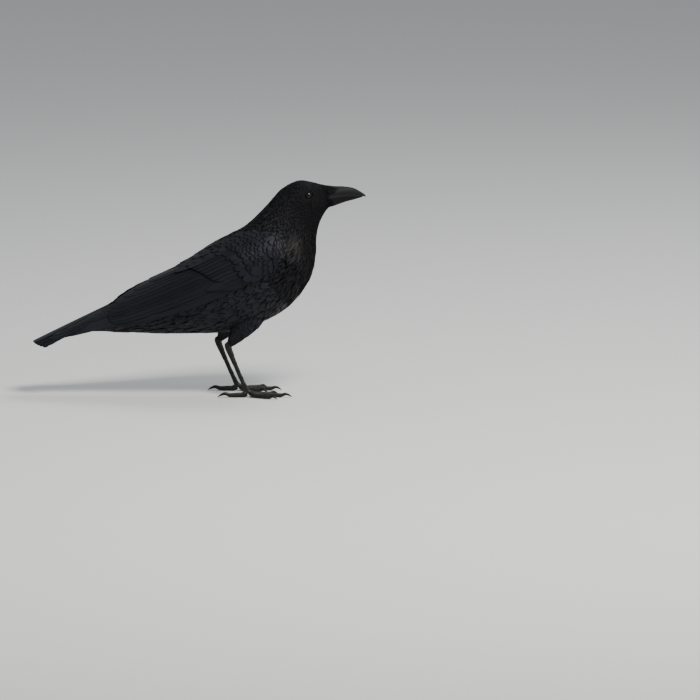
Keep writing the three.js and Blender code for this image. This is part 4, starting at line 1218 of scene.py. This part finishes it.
def long_vane(parts, centre, half, g, *, rows=64, low_side=1.0, high_side=1.0, tip_from=0.86, tip_power=2.2, base=0.45, sign=1, uv=(0.5, 0.5), patch=(0.04, 0.9), thick=0.3, shaft=0.5,
              cup=0.07, splits=4, wave=0.10, wear_and_sheen=0.0):
    """One flight feather. centre(s, across) gives points and normals for its upper side, across in mm (negative towards its lower or outer edge)."""
    s = 1 - (1 - np.linspace(0, 1, rows + 1)) ** 1.12
    t = COLUMNS
    round_ = np.sqrt(np.clip(1 - np.clip((s - tip_from) / (1 - tip_from), 0, 1) ** tip_power, 0, 1))
    width = (base + (1 - base) * smooth(s / 0.4)) * np.maximum(round_, 0.06)
    across = half * width[:, None] * np.where(t < 0, t * low_side, t * high_side)[None, :]
    # splits in the vane: short notches where barbs have come apart
    for _ in range(splits):
        at, side, depth = g.uniform(0.3, 0.97), g.choice([-1, 1]), g.uniform(0.06, 0.22)
        i = int(np.argmin(np.abs(s - at)))
        cols = (t * side) > 0.3
        pull = depth * (np.abs(t) - 0.3) / 0.7
        for step, share in enumerate((0.5, 1.0, 0.55, 0.25, 0.1)):
            if i + step <= rows:
                across[i + step] = np.where(cols, across[i + step] * (1 - share * pull), across[i + step])
    if splits:
        across = across * (1 + 0.012 * g.normal(size=(rows + 1, 1)))
    # barbs slant forward, so the edge of a row lies nearer the tip than its shaft
    length = 1.0
    slant = 0.018 * np.abs(t)[None, :] * smooth(s / 0.2)[:, None] * (1 - smooth((s - 0.86) / 0.14))[:, None]
    ss = np.clip(s[:, None] + slant, 0, 1)
    p, n, total = centre(ss, across)
    h = -cup * half * (np.abs(t) ** 1.6)[None, :] * width[:, None]
    ph = g.random(3) * 6.3
    h = h + wave * np.abs(t)[None, :] * (np.sin(ss * 23 + ph[0] + t * 2) + 0.6 * np.sin(ss * 51 + ph[1] - t)) * 0.5
    h = h + shaft * (1 - 0.85 * ss) * np.exp(-((t / 0.055) ** 2))[None, :]
    q = p + n * h[..., None]
    m = 1
    thickness = np.array([thick])
    pack_vanes(parts, q[None], n[None], thickness, across[None], (ss * total)[None], np.array([uv], float), np.array([[g.random(), wear_and_sheen, 1.0]]), sign, patch=patch)


def wing_centre(n0, v0, n1, v1, tilt, level, bend=0.0, side_drop=0.0, dive=0.0):
    """A feather's line on the wing from (n0, v0) to (n1, v1); its upper edge lies deeper than its lower one, so that they stack like slats."""

    def at(s, across):
        n = n0 + (n1 - n0) * s
        v = v0 + (v1 - v0) * (s + bend * s * (1 - s))
        p, pn, pv, out = frames(wing, n, v, -1)
        ln, lv = np.linalg.norm(pn, axis=-1), np.linalg.norm(pv, axis=-1)
        slope = ((v1 - v0) * lv) / np.maximum((n1 - n0) * ln, 1e-6)
        c = 1 / np.sqrt(1 + slope**2)
        nn, vv = n - across * slope * c / ln, v + across * c / lv
        p, _, _, out = frames(wing, nn, vv, -1)
        h = level - tilt * across + side_drop * (1 - s) ** 2 - dive * s**3
        total = float(np.sum(np.linalg.norm(np.diff(wing(n0 + (n1 - n0) * np.linspace(0, 1, 30), np.full(30, (v0 + v1) / 2)), axis=0), axis=1)))
        return p + out * h[..., None], out, total

    return at


def build_wing(side):
    g = np.random.default_rng(70 if side > 0 else 71)
    coverts, flight = Parts(), Parts()

    def rows_on_wing(n0, n1, v0, v1, row_mm, ring_mm, limit=None):
        ns, vs, n, odd = [], [], n0, False
        while n < n1:
            chord = np.linalg.norm(wing(np.array([n]), np.array([1.0])) - wing(np.array([n]), np.array([0.0])))
            count = max(2, int(round((v1 - v0) * chord / ring_mm)))
            v = v0 + (v1 - v0) * (np.arange(count) + (0.75 if odd else 0.25)) / count + g.normal(size=count) * 0.1 * ring_mm / chord
            ns.append(np.full(count, n) + g.normal(size=count) * 0.012)
            vs.append(v)
            step = np.linalg.norm(wing(np.array([n + 0.05]), np.array([0.5])) - wing(np.array([n]), np.array([0.5]))) / 0.05
            n += row_mm / step
            odd = not odd
        n, v = np.concatenate(ns), np.concatenate(vs)
        if limit is not None:
            ok = limit(n, v)
            n, v = n[ok], v[ok]
        return n, v

    def unwrap(n, v):
        return np.stack([0.03 + 0.94 * np.clip(n / 7, 0, 1), 0.03 + 0.94 * np.clip(v * 0.8 + 0.1, 0, 1)], 1)

    # a paler patch at the bend of the wing, stronger on the right wing: partly worn feathers, partly a painted sunlit
    # sheen
    def wear_and_sheen_at(n, v):
        p = wing(n, v)
        spot = (0.75 if side < 0 else 0.35) * np.exp(-(((p[:, 0] - 114) / 11) ** 2) - (((p[:, 2] - 186) / 13) ** 2))
        return np.clip(1.15 * spot * (g.random(len(n)) > 0.3) - 0.1, 0, 0.8) + 0.05 * g.random(len(n))

    def add(n, v, length, half, seed, **kw):
        vanes(coverts, wing, n, v, length, half, seed=seed + (0 if side > 0 else 500), unwrap=unwrap(n, v), sign=-1, wear_and_sheen=wear_and_sheen_at(n, v), **kw)

    # marginal and lesser coverts, smallest at the bend
    n, v = rows_on_wing(0.03, 0.62, -0.03, 1.04, 2.7, 2.9)
    add(n, v, 9.0 + 1.0 * g.random(len(n)), 2.4, 701, yaw=g.normal(size=len(n)) * 0.1, root=-2.8, tip=0.45, cup=0.1, rounding=0.42, fray=0.1, rows=5, columns=6, loose=0.08, layer=0.35, thick=0.08)
    edge = lambda n, v: n < 0.95 + 1.55 * np.clip(v - 0.2, 0, 1)
    n, v = rows_on_wing(0.5, 2.4, -0.02, 1.02, 4.9, 4.9, edge)
    size = np.interp(n, [0.4, 1.2, 2.2], [0.75, 1.0, 1.2])
    add(n, v, 15.5 * size, 4.4 * size, 702, yaw=g.normal(size=len(n)) * 0.07, root=-3.6, tip=0.55, cup=0.07, rounding=0.42, fray=0.08, rows=8, columns=8, loose=0.10, wave=0.04, layer=0.6, thick=0.10, roll=0.02)
    # median coverts, in two staggered rows
    for k, (shift, long) in enumerate([(0.0, 27.0), (0.22, 31.0)]):
        i = np.arange(12)
        v = 0.20 + 0.066 * i + 0.03 * k
        n = 0.82 + shift + 1.5 * (v - 0.2)
        add(n, v, long * (1 + 0.04 * g.normal(size=12)), 7.0, 703 + k, yaw=g.normal(size=12) * 0.04, root=-3.6, tip=0.35 - 0.25 * k, cup=0.06, rounding=0.42, fray=0.05, rows=12, columns=10, loose=0.08, wave=0.06, layer=0.6, thick=0.12, roll=0.02)
    # greater coverts of the secondaries, laid like slats, the innermost on top
    for i in range(9):
        v0 = 0.83 - 0.066 * i
        n0 = 1.22 + 1.45 * (v0 - 0.17)
        long_vane(coverts, wing_centre(n0, v0, n0 + 1.10 + 0.02 * g.normal(), v0 - 0.015, 0.10, 0.35 - 0.11 * i, bend=0.0, side_drop=-1.6, dive=0.3 + 0.1 * i), 7.6, g, rows=30, low_side=0.95, high_side=1.05, tip_from=0.83, tip_power=2.1,
                  base=0.6, sign=-1, uv=(0.05 + 0.08 * i, 0.5), patch=(0.035, 0.3), thick=0.2, shaft=0.25, cup=0.04, splits=int(g.integers(0, 3)), wave=0.08, wear_and_sheen=0.04 * g.random())
    # greater coverts of the primaries, and the alula over them
    for i in range(8):
        v0 = 0.245 - 0.026 * i
        n0 = 1.52 - 0.055 * i
        long_vane(coverts, wing_centre(n0, v0, n0 + 1.30 - 0.035 * i, v0 - 0.03 + 0.006 * i, 0.08, -0.75 - 0.10 * i, bend=0.0, side_drop=-1.0, dive=1.1), 4.8 - 0.18 * i, g, rows=30, low_side=0.75, high_side=1.25, tip_from=0.74, tip_power=1.8,
                  base=0.6, sign=-1, uv=(0.05 + 0.08 * i, 0.14), patch=(0.035, 0.2), thick=0.2, shaft=0.25, cup=0.05, splits=int(g.integers(0, 2)), wave=0.05, wear_and_sheen=0.05 * g.random())
    for i, (n0, v0, n1, half) in enumerate([(0.72, 0.20, 1.25, 5.2), (0.66, 0.15, 1.42, 5.0), (0.60, 0.10, 1.62, 4.8)]):
        long_vane(coverts, wing_centre(n0, v0, n1, v0 - 0.04, 0.10, 0.1 - 0.2 * i, bend=0.0, side_drop=-1.2), half, g, rows=24, low_side=0.8, high_side=1.1, tip_from=0.66, tip_power=1.9,
                  base=0.6, sign=-1, uv=(0.7 + 0.08 * i, 0.14), patch=(0.035, 0.2), thick=0.2, shaft=0.3, cup=0.05, splits=0, wave=0.04, wear_and_sheen=0.05 * g.random())
    # scapulars lie from the shoulder over the upper edge of the wing
    n, v = rows_on_wing(0.15, 2.95, 0.74, 1.08, 8.0, 7.2, lambda n, v: (v > 0.74 + 0.07 * np.clip(n - 1.2, 0, 3)) & (v < 1.08 - 0.055 * np.clip(n - 0.8, 0, 3)))
    size = np.interp(n, [0.2, 1.2, 2.4, 3.4], [0.55, 0.85, 1.1, 1.2])
    add(n, v, 34 * size, 8.6 * size, 709, yaw=-0.05 + g.normal(size=len(n)) * 0.05, root=-4.0, tip=np.interp(n, [0.3, 1.2, 2.0, 3.2], [0.5, 0.3, 0.3, 0.2]) - 9.0 * np.clip(v - 0.9, 0, 0.2), cup=0.035, rounding=0.46, blunt=2.1, fray=0.04, rows=12, columns=12, loose=0.06, wave=0.04, layer=0.9, thick=0.10, roll=0.01)
    # tertials and secondaries, from the innermost one on top down to the outermost
    inner = [(2.55, 0.90, 4.25, 0.93, 10.5), (2.45, 0.85, 4.62, 0.87, 10.5), (2.35, 0.79, 4.88, 0.80, 10.5), (2.25, 0.72, 5.08, 0.71, 10), (2.15, 0.65, 5.20, 0.62, 10),
             (2.05, 0.57, 5.27, 0.52, 9.5), (1.95, 0.49, 5.30, 0.43, 9.5), (1.85, 0.42, 5.30, 0.34, 9), (1.75, 0.35, 5.27, 0.26, 9), (1.65, 0.28, 5.2, 0.18, 8.5)]
    total = 20
    for i, (n0, v0, n1, v1, half) in enumerate(inner):
        level = -1.0 - 0.15 * i
        long_vane(flight, wing_centre(n0, v0, n1, v1, 0.115, level, bend=0.05, side_drop=-1.5), half, g, low_side=0.8, high_side=1.15, tip_from=0.84 if i > 2 else 0.72, tip_power=2.4,
                  sign=-1, uv=((i + 0.5) / total, 0.5), patch=(0.042, 0.94), splits=int(g.integers(2, 6)), wear_and_sheen=0.05 * g.random())
    # primaries: p1 on top of the stack, p10 at the lower edge; tips step out to the point of the wing
    outer = [(1.75, 0.27, 5.42, 0.62, 8.5), (1.72, 0.25, 5.58, 0.60, 8.5), (1.70, 0.22, 5.78, 0.60, 8.6), (1.68, 0.19, 6.06, 0.62, 8.6), (1.66, 0.16, 6.50, 0.66, 8.4),
             (1.64, 0.13, 6.86, 0.62, 8.0), (1.62, 0.105, 6.96, 0.46, 7.6), (1.60, 0.08, 6.90, 0.30, 7.0), (1.58, 0.06, 6.60, 0.16, 6.2), (1.56, 0.045, 5.85, 0.07, 5.2)]
    for i, (n0, v0, n1, v1, half) in enumerate(outer):
        level = -2.55 - 0.09 * i
        long_vane(flight, wing_centre(n0, v0, n1, v1, 0.10, level, bend=-0.55, side_drop=-1.0), half, g, rows=72, low_side=0.62, high_side=1.2, tip_from=0.80, tip_power=1.9, base=0.55,
                  sign=-1, uv=((i + 10.5) / total, 0.5), patch=(0.042, 0.94), splits=int(g.integers(2, 5)), wear_and_sheen=0.08 * g.random())
    if side < 0:
        coverts, flight = coverts.mirrored(), flight.mirrored()
    name = "left" if side > 0 else "right"
    piece(f"wing_coverts_{name}", coverts, WING_MAT)
    piece(f"wing_flight_{name}", flight, FLIGHT, [f"wing_{name}", f"wing_tip_{name}"])


def build_tail():
    g = np.random.default_rng(80)
    parts = Parts()
    slope = math.atan2(TAIL_ROOT[1] - TAIL_TIP[1], TAIL_ROOT[0] - TAIL_TIP[0])
    full = math.hypot(TAIL_ROOT[0] - TAIL_TIP[0], TAIL_ROOT[1] - TAIL_TIP[1])
    down = np.array([math.sin(slope), 0, math.cos(slope)]) * -1  # into the tail from above
    for i in range(12):
        j = i // 2  # pair, the central one on top
        side = 1 if i % 2 == 0 else -1
        k = side * (j + 0.5) / 5.6
        turn = math.radians(TAIL_FAN) * k
        reach = full - TAIL_ROUNDING * k * k

        def centre(s, across, k=k, turn=turn, reach=reach, j=j, side=side):
            along = s * reach
            x = TAIL_ROOT[0] - along * math.cos(slope) * math.cos(turn)
            y = TAIL_ROOT_HALF_WIDTH * k + along * math.sin(turn) + across * side * math.cos(turn)
            edge = TAIL_ROOT_HALF_WIDTH + TAIL_FEATHER_HALF_WIDTH * (0.6 + 0.4 * np.minimum(1, s * 2)) + along * math.sin(math.radians(TAIL_FAN))
            kk = np.clip(np.abs(y) / edge, 0, 1.15)
            # the inner edge of each feather lies under its neighbour towards the middle
            z = TAIL_ROOT[1] - along * math.sin(slope) - (TAIL_ARCH + 2.4 + 1.6 * s) * kk**1.8 * (0.55 + 0.45 * s) + 2.2 + 1.8 * smooth(s * 1.1) - 0.36 * j + 0.055 * across
            p = np.stack([x + 0 * y, y, z], -1)
            n = np.stack([math.sin(slope) * -1 + 0 * y, 0.25 * np.sign(y) * kk, math.cos(slope) + 0 * y], -1)
            return p, unit(n), reach

        long_vane(parts, centre, 12.2, g, rows=72, low_side=1.15 if j else 1.0, high_side=0.82 if j else 1.0, tip_from=0.935, tip_power=2.3, base=0.5,
                  sign=1 if side < 0 else -1, uv=((i + 0.5) / 12, 0.5), patch=(0.07, 0.94), splits=int(g.integers(2, 6)), wear_and_sheen=0.05 * g.random(), cup=0.05)
    piece("tail_feathers", parts, FLIGHT, ["tail"])


def build_thighs():
    for name in ("left", "right"):
        lines, side = foot_lines(name)
        points, radii = np.array(lines["thigh"][0]), np.array(lines["thigh"][1], float)

        def place(u, a):
            p, d, s, up = tube_frame(points, u)
            r = np.maximum(spline(radii, u), 2.0)
            return p + s * (np.sin(a)[..., None] * r * 0.8) + up * (np.cos(a)[..., None] * r)

        g = np.random.default_rng(60 + side)
        us, angles = [], []
        u, odd = 0.10, False
        while u < 0.95:
            r = float(spline(radii, u)[0])
            pitch = np.interp(u, [0, 1], [4.0, 1.5])
            count = max(7, int(2 * math.pi * r * 0.9 / pitch))
            angles.append((np.arange(count) + (0.5 if odd else 0)) * 2 * math.pi / count + g.normal(size=count) * 0.06)
            us.append(np.full(count, u) + g.normal(size=count) * 0.006)
            u += np.interp(u, [0, 1], [4.2, 2.2]) / 66
            odd = not odd
        u, a = np.concatenate(us), np.concatenate(angles)
        t = u
        parts = Parts()
        vanes(parts, place, u, a, np.interp(t, [0, 1], [19, 8]) * (1 + 0.1 * g.normal(size=len(u))), np.interp(t, [0, 1], [3.6, 1.2]), seed=610 + side, unwrap=np.stack([0.05 + 0.9 * (a / (2 * math.pi)) % 1, 0.05 + 0.9 * u], 1),
              sign=1, yaw=g.normal(size=len(u)) * 0.1, root=-np.interp(t, [0, 1], [3.4, 0.9]), tip=0.2 + 0.2 * g.normal(size=len(u)) * (1 - t), cup=0.1, rounding=0.5, blunt=2.0, fray=0.2, rows=7, columns=6, loose=0.2, wave=0.06, hold=2.4, layer=0.4, thick=0.08, roll=0.04)
        piece(f"feathers_thigh_{name}", parts, BODY_MAT)


# ---------------------------------------------------------------- the whole bird
build_skin()
for side_ in (1, -1):
    eyeball(side_)
build_bill(True)
build_bill(False)
build_body_coat()
build_bristles()
for side_ in (1, -1):
    build_wing(side_)
build_tail()
build_thighs()
for name_ in ("left", "right"):
    build_scutes(name_)
    build_claws(name_)

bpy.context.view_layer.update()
